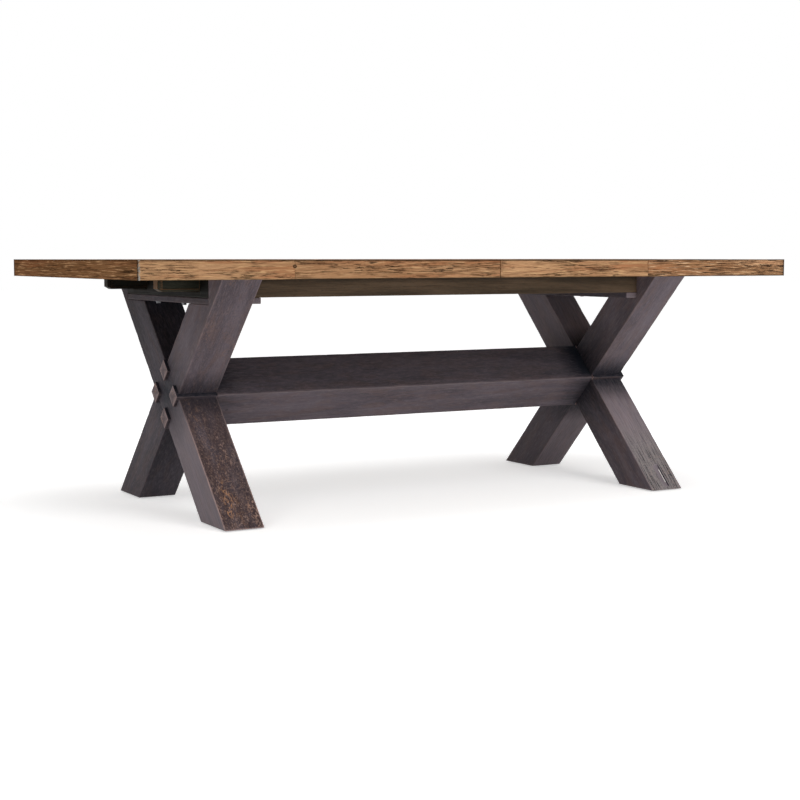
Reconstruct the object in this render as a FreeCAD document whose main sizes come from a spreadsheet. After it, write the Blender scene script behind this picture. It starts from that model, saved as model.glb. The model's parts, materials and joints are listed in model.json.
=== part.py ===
import FreeCAD, Part
import math
import os
import re

import Sketcher

# Trestle extension dining table.
# Millimetres. X runs along the table, Y from its front (minus) to its back, Z up.
# The origin lies on the floor under the middle of the table.
# The two halves of the top part at the middle and run outwards on geared wooden slides.

sizes = {
    # Overall
    "table_length": 2235,
    "table_width": 1168,
    "table_height": 762,
    # Top: planks inside a frame of deeper edge boards
    "edge_height": 51,
    "edge_width": 62,
    "edge_ease": 2,
    "plank_thick": 28,
    "plank_ease": 1.5,
    "seam_gap": 1,
    "front_joint_left": 669,
    "front_joint_right": 549,
    # Battens under the planks
    "cleat_thick": 22,
    "cleat_width": 90,
    "cleat_inner_place": 330,
    "cleat_end_margin": 60,
    "seam_batten_width": 90,
    # Alignment pins across the seam
    "pin_diameter": 10,
    "pin_length": 50,
    "pin_gap": 0.3,
    "pin_end_gap": 1,
    # Wood screws of the top
    "top_screw_diameter": 5,
    "top_screw_head": 10,
    "top_screw_cover": 12,
    "runner_screw_cover": 6,
    "counterbore_diameter": 11,
    # Trestles
    "end_overhang": 296.5,
    "leg_thick": 123,
    "leg_width": 128,
    "leg_spread": 348.5,
    "base_gap": 3,
    "glide_diameter": 40,
    "glide_thick": 3,
    "glide_place": 42,
    "glide_nail_diameter": 4,
    "glide_nail_length": 25,
    # Square pegs in the four angles of each crossing
    "peg_side": 47,
    "peg_inset": 18,
    "peg_proud": 10,
    "peg_ease": 2,
    # Frame that the trestles carry, between horns left standing on the legs
    "horn_thick": 29.4,
    "plate_thick": 18,
    "plate_ledge": 40,
    "plate_round": 7,
    "frame_height": 56,
    "apron_thick": 22,
    "end_rail_thick": 36,
    # Wood screws of the frame and stretcher
    "frame_screw_diameter": 5,
    "frame_screw_head": 10,
    "frame_screw_length": 50,
    "plate_screw_margin": 76,
    "plate_screw_inset": 18,
    "plate_screw_spacing": 27,
    "apron_screw_drop": 19,
    # Stretcher: a hollow square beam set on its edge
    "stretcher_side": 147,
    "stretcher_board": 25,
    "block_length": 100,
    "block_gap": 0.5,
    # Bolts and washers
    "bolt_diameter": 8,
    "bolt_head": 13,
    "bolt_head_height": 5.3,
    "washer_diameter": 17,
    "washer_thick": 1.6,
    "block_bolt_grip": 70,
    "plate_bolt_length": 50,
    # Slides
    "travel": 457,
    "slide_clear": 43,
    "slide_headroom": 1,
    "rail_floor": 6.5,
    "rail_cap": 8,
    "rail_inset": 3,
    "notch_gap": 1.5,
    "runner_web": 19.5,
    "runner_gap": 0.3,
    "runner_lift": 1.5,
    "runner_end_margin": 115.5,
    "runner_overlap": 43,
    "runner_relief": 2,
    "tongue_height": 6,
    "tongue_reach": 8,
    "tongue_lift": 6.5,
    "tongue_gap": 0.3,
    "recess_depth": 3,
    "recess_margin": 8,
    # Gearing of the slides
    "gear_module": 3,
    "gear_thick": 11,
    "gear_side_gap": 0.3,
    "gear_slot_gap": 2,
    "tooth_backlash": 0.3,
    "rack_back": 3.75,
    "rack_margin": 0.5,
    "axle_diameter": 10,
    "axle_gap": 0.05,
    "axle_lift": 1,
    "axle_drop": 3,
    # Every cut runs this far past the face that it opens
    "overrun": 5,
}

plank_count = 5
gear_teeth = 20
pressure_angle = 20
# Straight pieces that make up the curved side of a tooth
flank_pieces = 4
# Teeth of each rack that lie behind the pinion when the table is closed
spare_teeth = 3
hexagon_sides = 6
# Shares of the gear's module: tooth above and below the pitch line, and pitch line to rail
addendum_share = 1
dedendum_share = 1.25
rail_share = 1.5
# Share of the way from the middle of a crossing to its pegs at which the blocks are bolted
bolt_share = 0.646
# How close two coordinates are when they are the same
closeness = 0.0001

places = {
    "half_length": "table_length / 2",
    "half_width": "table_width / 2",
    "field_end": "table_length / 2 - edge_width",
    "field_side": "table_width / 2 - edge_width",
    "plank_pitch": f"(table_width - 2 * edge_width) / {plank_count}",
    "plank_base": "table_height - plank_thick",
    "pin_height": "table_height - plank_thick / 2",
    "underside": "table_height - edge_height",
    "cleat_base": "plank_base - cleat_thick",
    "runner_reach": "field_end - runner_end_margin",
    "cleat_outer_place": "runner_reach - cleat_end_margin",
    "seam_half": "seam_gap / 2",
    "seam_batten_place": "(seam_gap + seam_batten_width) / 2",
    "top_screw_length": "cleat_thick + plank_thick - top_screw_cover",
    "base_top": "cleat_base - base_gap",
    "crossing_height": "(base_top + glide_thick) / 2",
    "leg_slope": "leg_spread / (base_top - crossing_height)",
    "leg_half": "leg_width / 2 * sqrt(1 + leg_slope ^ 2)",
    "notch_height": "leg_half / leg_slope",
    "trestle_reach": "half_length - end_overhang",
    "trestle_inner": "trestle_reach - leg_thick",
    "trestle_middle": "trestle_reach - leg_thick / 2",
    "frame_base": "base_top - frame_height",
    "plate_base": "frame_base - plate_thick",
    "frame_side": "leg_slope * (plate_base - crossing_height) + leg_half - horn_thick",
    "plate_screw_place": "frame_side - plate_screw_margin",
    "rail_inner": "trestle_reach - end_rail_thick",
    "rail_middle": "trestle_reach - end_rail_thick / 2",
    "peg_half": "peg_side / sqrt(2)",
    "peg_out": "leg_half - peg_inset",
    "peg_up": "notch_height - peg_inset",
    "block_bolt_place": f"(peg_out - peg_half) * {bolt_share}",
    "stretcher_half": "stretcher_side / sqrt(2)",
    "hollow_half": "stretcher_half - stretcher_board * sqrt(2)",
    "block_half": "hollow_half - block_gap * sqrt(2)",
    "block_end": "trestle_inner - block_length",
    "block_bolt_length": "block_length + block_bolt_grip",
    "rail_height": "rail_floor + gear_thick + tongue_lift + tongue_height + rail_cap",
    "slide_top": "base_top - slide_headroom",
    "slide_base": "slide_top - rail_height",
    "gear_base": "slide_base + rail_floor",
    "gear_top": "gear_base + gear_thick",
    "gear_pitch": f"gear_module * {gear_teeth} / 2",
    "gear_tip": f"gear_pitch + gear_module * {addendum_share}",
    "rail_half": f"gear_pitch - gear_module * {rail_share}",
    "rack_far": f"gear_pitch + gear_module * {dedendum_share} + rack_back",
    "tongue_base": "gear_top + tongue_lift",
    "tongue_top": "tongue_base + tongue_height",
    "tongue_far": "rail_half + tongue_reach",
    "runner_near": "rail_half + runner_gap",
    "runner_far": "rack_far + runner_web",
    "runner_base": "slide_base + runner_lift",
    "runner_tail": "travel + runner_overlap",
    "runner_screw_place": "rack_far + runner_web / 2",
    "runner_screw_base": "plank_base - runner_screw_cover - top_screw_length",
    "notch_half": "runner_far + notch_gap",
    "slide_place": "frame_side - apron_thick - slide_clear - runner_far",
    "plate_bolt_place": "slide_place / 2",
}

# Rows of screws along the top: two cleats and the batten at the seam
screw_rows = ("cleat_outer_place", "cleat_inner_place", "seam_batten_place")
# Where the two boards of each front edge meet, left and right
front_joints = {-1: "front_joint_left", 1: "front_joint_right"}

doc = FreeCAD.newDocument("trestle_dining_table")
sheet = doc.addObject("Spreadsheet::Sheet", "Sizes")
for row, (word, number) in enumerate(sizes.items(), 1):
    sheet.set(f"A{row}", word)
    sheet.set(f"B{row}", str(number))
    sheet.setAlias(f"B{row}", word)


def with_cells(formula, own=""):
    """The formula with each size and place written as the cell or property that holds it."""

    def cell(found):
        word = found.group()
        if word in sizes:
            return "Sizes." + word
        return own + word if word in places else word

    return re.sub(r"[a-z_]+", cell, formula)


worked_out = doc.addObject("App::VarSet", "Places")
for word, formula in places.items():
    worked_out.addProperty("App::PropertyFloat", word)
    worked_out.setExpression(word, with_cells(formula))
doc.recompute()


def bind(thing, name, formula):
    thing.setExpression(name, with_cells(str(formula), "Places."))


def value(word):
    """A size or place as a number, for the few shapes that are worked out point by point."""
    return float(sheet.get(word) if word in sizes else getattr(worked_out, word))


def span(side, near, far):
    """A stretch from near to far on one side of the middle, lowest end first."""
    return (near, far) if side > 0 else (f"-({far})", f"-({near})")


nodes = []
pockets = []


upward = FreeCAD.Vector(0, 0, 1)
downward = FreeCAD.Vector(0, 0, -1)


def keep(thing, name):
    thing.Label = name
    nodes.append(thing)
    return thing


# Building blocks


def new_body(name):
    return doc.addObject("PartDesign::Body", name)


def new_sketch(body, role, level):
    """An empty sketch on one of the body's own planes, lifted along that plane's normal."""
    sketch = body.newObject("Sketcher::SketchObject", "Outline")
    origin_plane = [item for item in body.Origin.OriginFeatures if item.Role == role][0]
    sketch.AttachmentSupport = (origin_plane, [""])
    sketch.MapMode = "FlatFace"
    bind(sketch, "AttachmentOffset.Base.z", level)
    return sketch


def pin_point(sketch, line, end, across, up, start):
    """Hold one point of a sketch at two formulas, measured from the origin."""
    for kind, formula, first in (("DistanceX", across, start.x), ("DistanceY", up, start.y)):
        index = sketch.addConstraint(Sketcher.Constraint(kind, -1, 1, line, end, first))
        name = f"{kind}_{line}"
        sketch.renameConstraint(index, name)
        bind(sketch, f"Constraints.{name}", formula)


def polygon(sketch, points):
    """A closed outline through points that are pairs of formulas."""
    count = len(points)
    starts = [FreeCAD.Vector(math.cos(turn), math.sin(turn), 0)
              for turn in (2 * math.pi * step / count for step in range(count))]
    for index in range(count):
        sketch.addGeometry(Part.LineSegment(starts[index], starts[(index + 1) % count]))
    for index in range(count):
        sketch.addConstraint(Sketcher.Constraint("Coincident", index, 2, (index + 1) % count, 1))
    for index, (across, up) in enumerate(points):
        pin_point(sketch, index, 1, across, up, starts[index])


def circles(sketch, centres, diameter):
    """Round outlines at centres that are pairs of formulas."""
    for index, (across, up) in enumerate(centres):
        start = FreeCAD.Vector(index + 1, 1, 0)
        sketch.addGeometry(Part.Circle(start, upward, 1))
        pin_point(sketch, index, 3, across, up, start)
        sized = sketch.addConstraint(Sketcher.Constraint("Diameter", index, 2))
        sketch.renameConstraint(sized, f"Diameter_{index}")
        bind(sketch, f"Constraints.Diameter_{index}", diameter)


def rectangle(across, up):
    return [(across[0], up[0]), (across[1], up[0]), (across[1], up[1]), (across[0], up[1])]


def pad(body, role, points, reach):
    """Material inside an outline, from the first level of reach to the second."""
    sketch = new_sketch(body, role, reach[0])
    polygon(sketch, points)
    feature = body.newObject("PartDesign::Pad", "Pad")
    feature.Profile = sketch
    bind(feature, "Length", f"({reach[1]}) - ({reach[0]})")
    return feature


def cut_down(body, sketch, reach):
    """Remove what a sketch at the upper level of reach covers, down to the lower level."""
    feature = body.newObject("PartDesign::Pocket", "Pocket")
    feature.Profile = sketch
    bind(feature, "Length", f"({reach[1]}) - ({reach[0]})")
    pockets.append(feature)


def pocket(body, role, points, reach):
    sketch = new_sketch(body, role, reach[1])
    polygon(sketch, points)
    cut_down(body, sketch, reach)


def drill(body, role, centres, diameter, reach):
    sketch = new_sketch(body, role, reach[1])
    circles(sketch, centres, diameter)
    cut_down(body, sketch, reach)


def ease(body, kind, size, chosen):
    """Break or round the edges of the body whose two ends both pass the test."""
    doc.recompute()
    base = body.Tip
    names = [f"Edge{number}" for number, edge in enumerate(base.Shape.Edges, 1)
             if all(chosen(end.Point) for end in edge.Vertexes)]
    feature = body.newObject("PartDesign::" + kind, kind)
    feature.Base = (base, names)
    bind(feature, "Size" if kind == "Chamfer" else "Radius", size)


def box(name, along, across, up):
    """A plain board between pairs of formulas in X, Y and Z."""
    board = doc.addObject("Part::Box", name)
    for length, axis, (low, high) in (("Length", "x", along), ("Width", "y", across), ("Height", "z", up)):
        bind(board, length, f"({high}) - ({low})")
        bind(board, f"Placement.Base.{axis}", low)
    return board


def group(name, things):
    together = doc.addObject("Part::Compound", name)
    together.Links = things
    return together


def fitted(name, blank, tools):
    """A blank with the room that the pieces let into it take up."""
    joined = doc.addObject("Part::Cut", name)
    joined.Base = blank
    joined.Tool = tools[0] if len(tools) == 1 else group(name + "_housings", tools)
    return keep(joined, name)


def near(first, second):
    return abs(first - second) < closeness


# Fasteners, worked out point by point and gathered in one group for each kind


def screw_at(kind, seat, direction):
    """A countersunk wood screw with its flat head at the seat."""
    radius = value(kind + "_diameter") / 2
    head = value(kind + "_head") / 2
    length = value(kind + "_length")
    corners = [(0, 0), (head, 0), (radius, head - radius), (radius, length - radius), (0, length)]
    return turned(corners, seat, direction)


def turned(corners, seat, direction):
    """A round solid from pairs of radius and height, standing at the seat along the direction."""
    points = [FreeCAD.Vector(radius, 0, height) for radius, height in corners]
    face = Part.Face(Part.makePolygon(points + points[:1]))
    solid = face.revolve(FreeCAD.Vector(), upward, 360)
    solid.Placement = FreeCAD.Placement(seat, FreeCAD.Rotation(upward, direction))
    return solid


def bolt_at(length, seat, direction):
    """A hexagon-headed bolt on its washer. The seat is the face that the washer lies on."""
    outer = value("bolt_head") / 2 / math.cos(math.pi / hexagon_sides)
    corners = [FreeCAD.Vector(outer * math.cos(turn), outer * math.sin(turn), 0)
               for turn in (2 * math.pi * step / hexagon_sides for step in range(hexagon_sides))]
    lift = value("washer_thick")
    head = Part.Face(Part.makePolygon(corners + corners[:1])).extrude(
        downward * value("bolt_head_height"))
    shank = Part.makeCylinder(value("bolt_diameter") / 2, length + lift)
    bolt = head.fuse(shank).removeSplitter()
    bolt.Placement = FreeCAD.Placement(
        seat - direction * lift, FreeCAD.Rotation(upward, direction))
    return bolt


def washer_at(seat, direction):
    bore = value("bolt_diameter") / 2
    rim = value("washer_diameter") / 2
    thick = value("washer_thick")
    corners = [(bore, -thick), (rim, -thick), (rim, 0), (bore, 0)]
    return turned(corners, seat, direction)


def gathered(name, shapes):
    feature = doc.addObject("Part::Feature", name)
    feature.Shape = Part.makeCompound(shapes)
    return keep(feature, name)


def make_frame_screws():
    """Screws of the cross plates, the aprons, the fixed slide rails and the stretcher."""
    shapes = []
    facet = value("stretcher_half") / 2
    for side in (-1, 1):
        first = value("trestle_inner") + value("plate_screw_inset")
        for front in (-1, 1):
            for inset in (first, first + value("plate_screw_spacing")):
                seat = FreeCAD.Vector(
                    side * inset, front * value("plate_screw_place"), value("frame_base"))
                shapes.append(screw_at("frame_screw", seat, downward))
            inner_face = front * (value("frame_side") - value("apron_thick"))
            seat = FreeCAD.Vector(side * value("trestle_middle"), inner_face,
                                  value("base_top") - value("apron_screw_drop"))
            shapes.append(screw_at("frame_screw", seat, FreeCAD.Vector(0, front, 0)))
            seat = FreeCAD.Vector(
                side * value("rail_middle"), front * value("slide_place"), value("slide_top"))
            shapes.append(screw_at("frame_screw", seat, downward))
            seat = FreeCAD.Vector(side * (value("trestle_inner") - value("block_length") / 2),
                                  front * facet, value("crossing_height") - facet)
            inward = FreeCAD.Vector(0, -front, 1).normalize()
            shapes.append(screw_at("frame_screw", seat, inward))
    return gathered("frame_screws", shapes)


def block_bolt_seats(side):
    """Where the four bolts of a stretcher block bear, and the way that they point."""
    spread = value("block_bolt_place")
    middle = FreeCAD.Vector(side * value("block_end"), 0, value("crossing_height"))
    offsets = ((-spread, 0), (spread, 0), (0, -spread), (0, spread))
    return [middle + FreeCAD.Vector(0, across, rise) for across, rise in offsets]


def plate_bolt_seats(side):
    return [FreeCAD.Vector(side * value("rail_middle"), front * value("plate_bolt_place"),
                           value("plate_base")) for front in (-1, 1)]


def make_bolts():
    blocks, plates, washers = [], [], []
    for side in (-1, 1):
        outward = FreeCAD.Vector(side, 0, 0)
        for seat in block_bolt_seats(side):
            blocks.append(bolt_at(value("block_bolt_length"), seat, outward))
            washers.append(washer_at(seat, outward))
        for seat in plate_bolt_seats(side):
            plates.append(bolt_at(value("plate_bolt_length"), seat, upward))
            washers.append(washer_at(seat, upward))
    gathered("bolt_washers", washers)
    return gathered("block_bolts", blocks), gathered("plate_bolts", plates)


def make_foot_glides():
    """Nail-on glides, two under each foot. The table stands on them."""
    disc = value("glide_diameter") / 2
    nail = value("glide_nail_diameter") / 2
    thick = value("glide_thick")
    tip = thick + value("glide_nail_length")
    corners = [(0, 0), (disc, 0), (disc, thick), (nail, thick), (nail, tip - nail), (0, tip)]
    seats = [FreeCAD.Vector(side * value("trestle_middle"),
                            front * (value("leg_spread") + offset * value("glide_place")), 0)
             for side in (-1, 1) for front in (-1, 1) for offset in (-1, 1)]
    return gathered("foot_glides", [turned(corners, seat, upward) for seat in seats])


def make_top_screws(side, name):
    """Screws up through the battens into each plank, and up through the runners into the battens."""
    pitch = value("plank_pitch")
    shapes = []
    for row in screw_rows:
        along = side * value(row)
        for index in range(plank_count):
            across = pitch * (index + 0.5) - value("field_side")
            seat = FreeCAD.Vector(along, across, value("cleat_base"))
            shapes.append(screw_at("top_screw", seat, upward))
        for front in (-1, 1):
            across = front * value("slide_place") + side * value("runner_screw_place")
            seat = FreeCAD.Vector(along, across, value("runner_screw_base"))
            shapes.append(screw_at("top_screw", seat, upward))
    return gathered(name, shapes)


def make_alignment_pins():
    """Dowels across the seam, one in the middle of each plank's end."""
    pins = []
    for index in range(plank_count):
        pin = doc.addObject("Part::Cylinder", f"pin_{index + 1}")
        bind(pin, "Radius", "pin_diameter / 2")
        bind(pin, "Height", "pin_length")
        pin.Placement = FreeCAD.Placement(
            FreeCAD.Vector(), FreeCAD.Rotation(FreeCAD.Vector(0, 1, 0), 90))
        bind(pin, "Placement.Base.x", "-pin_length / 2")
        bind(pin, "Placement.Base.y", f"plank_pitch * {index + 0.5} - field_side")
        bind(pin, "Placement.Base.z", "pin_height")
        pins.append(pin)
    return keep(group("alignment_pins", pins), "alignment_pins")


# Trestles


def make_pegs(side, name):
    """Four square pegs on their edges, one in each angle of the crossing, proud of the outer face."""
    reach = span(side, "trestle_inner", "trestle_reach + peg_proud")
    outer = side * (value("trestle_reach") + value("peg_proud"))
    pegs = []
    for out, rise in ((-1, 0), (1, 0), (0, -1), (0, 1)):
        middle = f"{out} * peg_out"
        height = f"crossing_height + {rise} * peg_up"
        peg = new_body(name + "_peg")
        pad(peg, "YZ_Plane", [
            (f"{middle} - peg_half", height),
            (middle, f"{height} - peg_half"),
            (f"{middle} + peg_half", height),
            (middle, f"{height} + peg_half"),
        ], reach)
        ease(peg, "Chamfer", "peg_ease", lambda point: near(point.x, outer))
        pegs.append(peg)
    return keep(group(name, pegs), name)


def make_leg(name, side, foot, lap, let_in):
    """A leg from its foot (minus for the front) up to the other side, halved at the crossing.

    lap is the side of the crossing, -1 or 1 along X, where the other leg passes.
    """
    leg = new_body(name + "_blank")
    pad(leg, "YZ_Plane", [
        (f"{foot} * leg_spread - leg_half", "glide_thick"),
        (f"{foot} * leg_spread + leg_half", "glide_thick"),
        (f"{-foot} * leg_spread + leg_half", "base_top"),
        (f"{-foot} * leg_spread - leg_half", "base_top"),
    ], span(side, "trestle_inner", "trestle_reach"))
    middle = f"{side} * trestle_middle"
    edge = f"{middle} + {lap} * (leg_thick / 2 + overrun)"
    crossing = [
        ("-leg_half", "crossing_height"),
        ("0", "crossing_height - notch_height"),
        ("leg_half", "crossing_height"),
        ("0", "crossing_height + notch_height"),
    ]
    pocket(leg, "YZ_Plane", crossing, (middle, edge) if lap > 0 else (edge, middle))
    across = span(-foot, "0", "frame_side")
    whole = span(side, "trestle_inner - overrun", "trestle_reach + overrun")
    pocket(leg, "YZ_Plane", rectangle(across, ("plate_base", "base_top + overrun")), whole)
    return fitted(name, leg, let_in)


def make_cross_plate(name, side, let_in):
    """The plate that lies in the notches of the two legs and carries the frame."""
    plate = new_body(name + "_blank")
    along = span(side, "trestle_inner - plate_ledge", "trestle_reach")
    pad(plate, "XY_Plane", rectangle(along, ("-frame_side", "frame_side")), ("plate_base", "frame_base"))
    ledge = side * (value("trestle_inner") - value("plate_ledge"))
    ease(plate, "Fillet", "plate_round",
         lambda point: near(point.x, ledge) and near(point.z, value("frame_base")))
    return fitted(name, plate, let_in)


def make_end_rail(name, side, let_in):
    """The frame's end, notched for the two sets of slides."""
    rail = new_body(name + "_blank")
    points = [("-frame_side", "base_top"), ("-frame_side", "frame_base"),
              ("frame_side", "frame_base"), ("frame_side", "base_top")]
    for front in (1, -1):
        far_side = f"{front} * slide_place + notch_half"
        near_side = f"{front} * slide_place - notch_half"
        points += [(far_side, "base_top"), (far_side, "slide_base"),
                   (near_side, "slide_base"), (near_side, "base_top")]
    pad(rail, "YZ_Plane", points, span(side, "rail_inner", "trestle_reach"))
    return fitted(name, rail, let_in)


def make_apron(name, front, let_in):
    blank = box(name + "_blank", ("-rail_inner", "rail_inner"),
                span(front, "frame_side - apron_thick", "frame_side"), ("frame_base", "base_top"))
    return fitted(name, blank, let_in)


# Stretcher


def make_stretcher_board(name, front, rise, let_in):
    """One of the four mitred boards of the beam."""
    board = new_body(name + ("_blank" if let_in else ""))
    pad(board, "YZ_Plane", [
        ("0", f"crossing_height + {rise} * stretcher_half"),
        (f"{front} * stretcher_half", "crossing_height"),
        (f"{front} * hollow_half", "crossing_height"),
        ("0", f"crossing_height + {rise} * hollow_half"),
    ], ("-trestle_inner", "trestle_inner"))
    return fitted(name, board, let_in) if let_in else keep(board, name)


def make_block(name, side, let_in):
    """The block bolted to the trestle, over which the hollow stretcher slips."""
    block = new_body(name + "_blank")
    pad(block, "YZ_Plane", [
        ("-block_half", "crossing_height"),
        ("0", "crossing_height - block_half"),
        ("block_half", "crossing_height"),
        ("0", "crossing_height + block_half"),
    ], span(side, "block_end", "trestle_inner"))
    return fitted(name, block, let_in)


# Slides


def make_slide_rail(name, front, let_in):
    """The fixed rail of one set, with a tongue along each side and a slot for the pinion."""
    rail = new_body(name + "_blank")
    centre = f"{front} * slide_place"
    half = [("rail_half", "slide_base"), ("rail_half", "tongue_base"), ("tongue_far", "tongue_base"),
            ("tongue_far", "tongue_top"), ("rail_half", "tongue_top"), ("rail_half", "slide_top")]
    points = [(f"{centre} + {across}", height) for across, height in half]
    points += [(f"{centre} - {across}", height) for across, height in reversed(half)]
    pad(rail, "YZ_Plane", points, ("-(trestle_reach - rail_inset)", "trestle_reach - rail_inset"))
    slot = rectangle(("-(gear_tip + gear_slot_gap)", "gear_tip + gear_slot_gap"),
                     (f"{centre} - rail_half - overrun", f"{centre} + rail_half + overrun"))
    pocket(rail, "XY_Plane", slot, ("gear_base - gear_side_gap", "gear_top + gear_side_gap"))
    drill(rail, "XY_Plane", [("0", centre)], "axle_diameter",
          ("slide_base + axle_lift", "slide_top + overrun"))
    return fitted(name, rail, let_in)


def make_axles():
    axles = []
    for front in (-1, 1):
        axle = doc.addObject("Part::Cylinder", "axle")
        bind(axle, "Radius", "axle_diameter / 2")
        bind(axle, "Height", "rail_height - axle_lift - axle_drop")
        bind(axle, "Placement.Base.y", f"{front} * slide_place")
        bind(axle, "Placement.Base.z", "slide_base + axle_lift")
        axles.append(axle)
    return keep(group("pinion_axles", axles), "pinion_axles")


def make_runner(name, side, front, let_in):
    """A runner of one half of the top, grooved for the rail's tongue and for its rack.

    Its far end is planed lower, to pass under the battens of the other half.
    """
    runner = new_body(name + "_blank")
    section = [("runner_near", "runner_base"), ("runner_far", "runner_base"),
               ("runner_far", "cleat_base"), ("runner_near", "cleat_base"),
               ("runner_near", "tongue_top + tongue_gap"),
               ("tongue_far + tongue_gap", "tongue_top + tongue_gap"),
               ("tongue_far + tongue_gap", "tongue_base - tongue_gap"),
               ("runner_near", "tongue_base - tongue_gap"),
               ("runner_near", "gear_top + rack_margin"), ("rack_far", "gear_top + rack_margin"),
               ("rack_far", "gear_base - rack_margin"), ("runner_near", "gear_base - rack_margin")]
    centre = f"{front} * slide_place"
    points = [(f"{centre} + {side} * ({across})", height) for across, height in section]
    pad(runner, "YZ_Plane", points, span(side, "-runner_tail", "runner_reach"))
    across = span(side, "runner_near - overrun", "runner_far + overrun")
    across = (f"{centre} + {across[0]}", f"{centre} + {across[1]}")
    pocket(runner, "XY_Plane", rectangle(span(side, "-runner_tail - overrun", "0"), across),
           ("cleat_base - runner_relief", "cleat_base + overrun"))
    inner, outer = span(side, "runner_far - recess_depth", "runner_far + overrun")
    recess = rectangle(span(side, "trestle_reach", "runner_reach - recess_margin"),
                       (f"{centre} + {inner}", f"{centre} + {outer}"))
    pocket(runner, "XY_Plane", recess, ("runner_base + recess_margin", "cleat_base - recess_margin"))
    bores = [(f"{side} * {row}", f"{centre} + {side} * runner_screw_place") for row in screw_rows]
    drill(runner, "XY_Plane", bores, "counterbore_diameter",
          ("runner_base - overrun", "runner_screw_base"))
    return fitted(name, runner, let_in)


def make_racks(name, side):
    """The toothed strip in each runner of one half, to one tooth short of the runner's end."""
    pitch = math.pi * value("gear_module")
    slope = math.tan(math.radians(pressure_angle))
    tip = value("gear_pitch") - addendum_share * value("gear_module")
    root = value("gear_pitch") + dedendum_share * value("gear_module")
    half_at_pitch = pitch / 4 - value("tooth_backlash") / 2
    half_tip = half_at_pitch - (value("gear_pitch") - tip) * slope
    half_root = half_at_pitch + (root - value("gear_pitch")) * slope
    teeth = range(-spare_teeth, math.floor(value("runner_tail") / pitch) - 1)
    start = (teeth[0] - 0.5) * pitch
    end = (teeth[-1] + 0.5) * pitch
    base = value("gear_base") - value("rack_margin")
    height = value("gear_thick") + 2 * value("rack_margin")
    racks = []
    for front in (-1, 1):
        points = [(start, value("rack_far")), (start, root)]
        for tooth in teeth:
            middle = tooth * pitch
            points += [(middle - half_root, root), (middle - half_tip, tip),
                       (middle + half_tip, tip), (middle + half_root, root)]
        points += [(end, root), (end, value("rack_far"))]
        # A tooth space faces the pinion at rest, so the teeth stand half a pitch further on.
        corners = [FreeCAD.Vector(-side * (along + pitch / 2),
                                  front * value("slide_place") + side * across, base)
                   for along, across in points]
        face = Part.Face(Part.makePolygon(corners + corners[:1]))
        racks.append(face.extrude(upward * height))
    return gathered(name, racks)


def make_pinion(name, front):
    """A spur gear on a vertical axle, with involute teeth, one of them pointing to each runner."""
    module = value("gear_module")
    pitch_radius = value("gear_pitch")
    tip = value("gear_tip")
    root = pitch_radius - dedendum_share * module
    base_radius = pitch_radius * math.cos(math.radians(pressure_angle))

    def flank(radius):
        """How far the flank has turned from where it leaves the base circle."""
        angle = math.acos(min(1, base_radius / radius))
        return math.tan(angle) - angle

    half_tooth = math.pi / 2 / gear_teeth - value("tooth_backlash") / 2 / pitch_radius
    half_base = half_tooth + flank(pitch_radius)
    radii = [base_radius + (tip - base_radius) * step / flank_pieces
             for step in range(flank_pieces + 1)]
    side_points = [(root, half_base)] + [(radius, half_base - flank(radius)) for radius in radii]
    points = []
    for tooth in range(gear_teeth):
        middle = 2 * math.pi * tooth / gear_teeth + math.pi / 2
        around = [(radius, middle - turn) for radius, turn in side_points]
        around += [(radius, middle + turn) for radius, turn in reversed(side_points)]
        points += [FreeCAD.Vector(radius * math.cos(turn), radius * math.sin(turn), 0)
                   for radius, turn in around]
    gear = Part.Face(Part.makePolygon(points + points[:1])).extrude(upward * value("gear_thick"))
    bore = value("axle_diameter") / 2 + value("axle_gap")
    gear = gear.cut(Part.makeCylinder(bore, value("gear_thick")))
    feature = doc.addObject("Part::Feature", name)
    feature.Shape = gear
    feature.Placement = FreeCAD.Placement(
        FreeCAD.Vector(0, front * value("slide_place"), value("gear_base")), FreeCAD.Rotation())
    return keep(feature, name)


# Top


def make_plank(name, side, index, let_in):
    """A board of the top, its long edges broken where it meets the next."""
    plank = new_body(name + "_blank")
    low = f"plank_pitch * {index} - field_side"
    high = f"plank_pitch * {index + 1} - field_side"
    pad(plank, "YZ_Plane", [
        (low, "plank_base"),
        (high, "plank_base"),
        (high, "table_height - plank_ease"),
        (f"{high} - plank_ease", "table_height"),
        (f"{low} + plank_ease", "table_height"),
        (low, "table_height - plank_ease"),
    ], span(side, "seam_half", "field_end"))
    if side > 0:
        middle = f"plank_pitch * {index + 0.5} - field_side"
        drill(plank, "YZ_Plane", [(middle, "pin_height")], "pin_diameter + 2 * pin_gap",
              ("seam_half - overrun", "pin_length / 2 + pin_end_gap"))
    return fitted(name, plank, let_in)


def make_edge(name, side, front, near_end, mitred):
    """An edge board of the front or back, from near_end outwards, mitred at the corner or butted."""
    edge = new_body(name)
    outer = "half_length" if mitred else front_joints[side]
    inner = "field_end" if mitred else outer
    corners = [(near_end, "half_width"), (outer, "half_width"),
               (inner, "field_side"), (near_end, "field_side")]
    points = [(f"{side} * ({along})", f"{front} * {across}") for along, across in corners]
    pad(edge, "XY_Plane", points, ("underside", "table_height"))
    ease(edge, "Chamfer", "edge_ease",
         lambda point: near(abs(point.y), value("half_width")) and near(point.z, value("table_height")))
    return keep(edge, name)


def make_end_board(name, side):
    board = new_body(name)
    corners = [("half_length", "-half_width"), ("half_length", "half_width"),
               ("field_end", "field_side"), ("field_end", "-field_side")]
    points = [(f"{side} * {along}", across) for along, across in corners]
    pad(board, "XY_Plane", points, ("underside", "table_height"))
    ease(board, "Chamfer", "edge_ease",
         lambda point: near(abs(point.x), value("half_length")) and near(point.z, value("table_height")))
    return keep(board, name)


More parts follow.
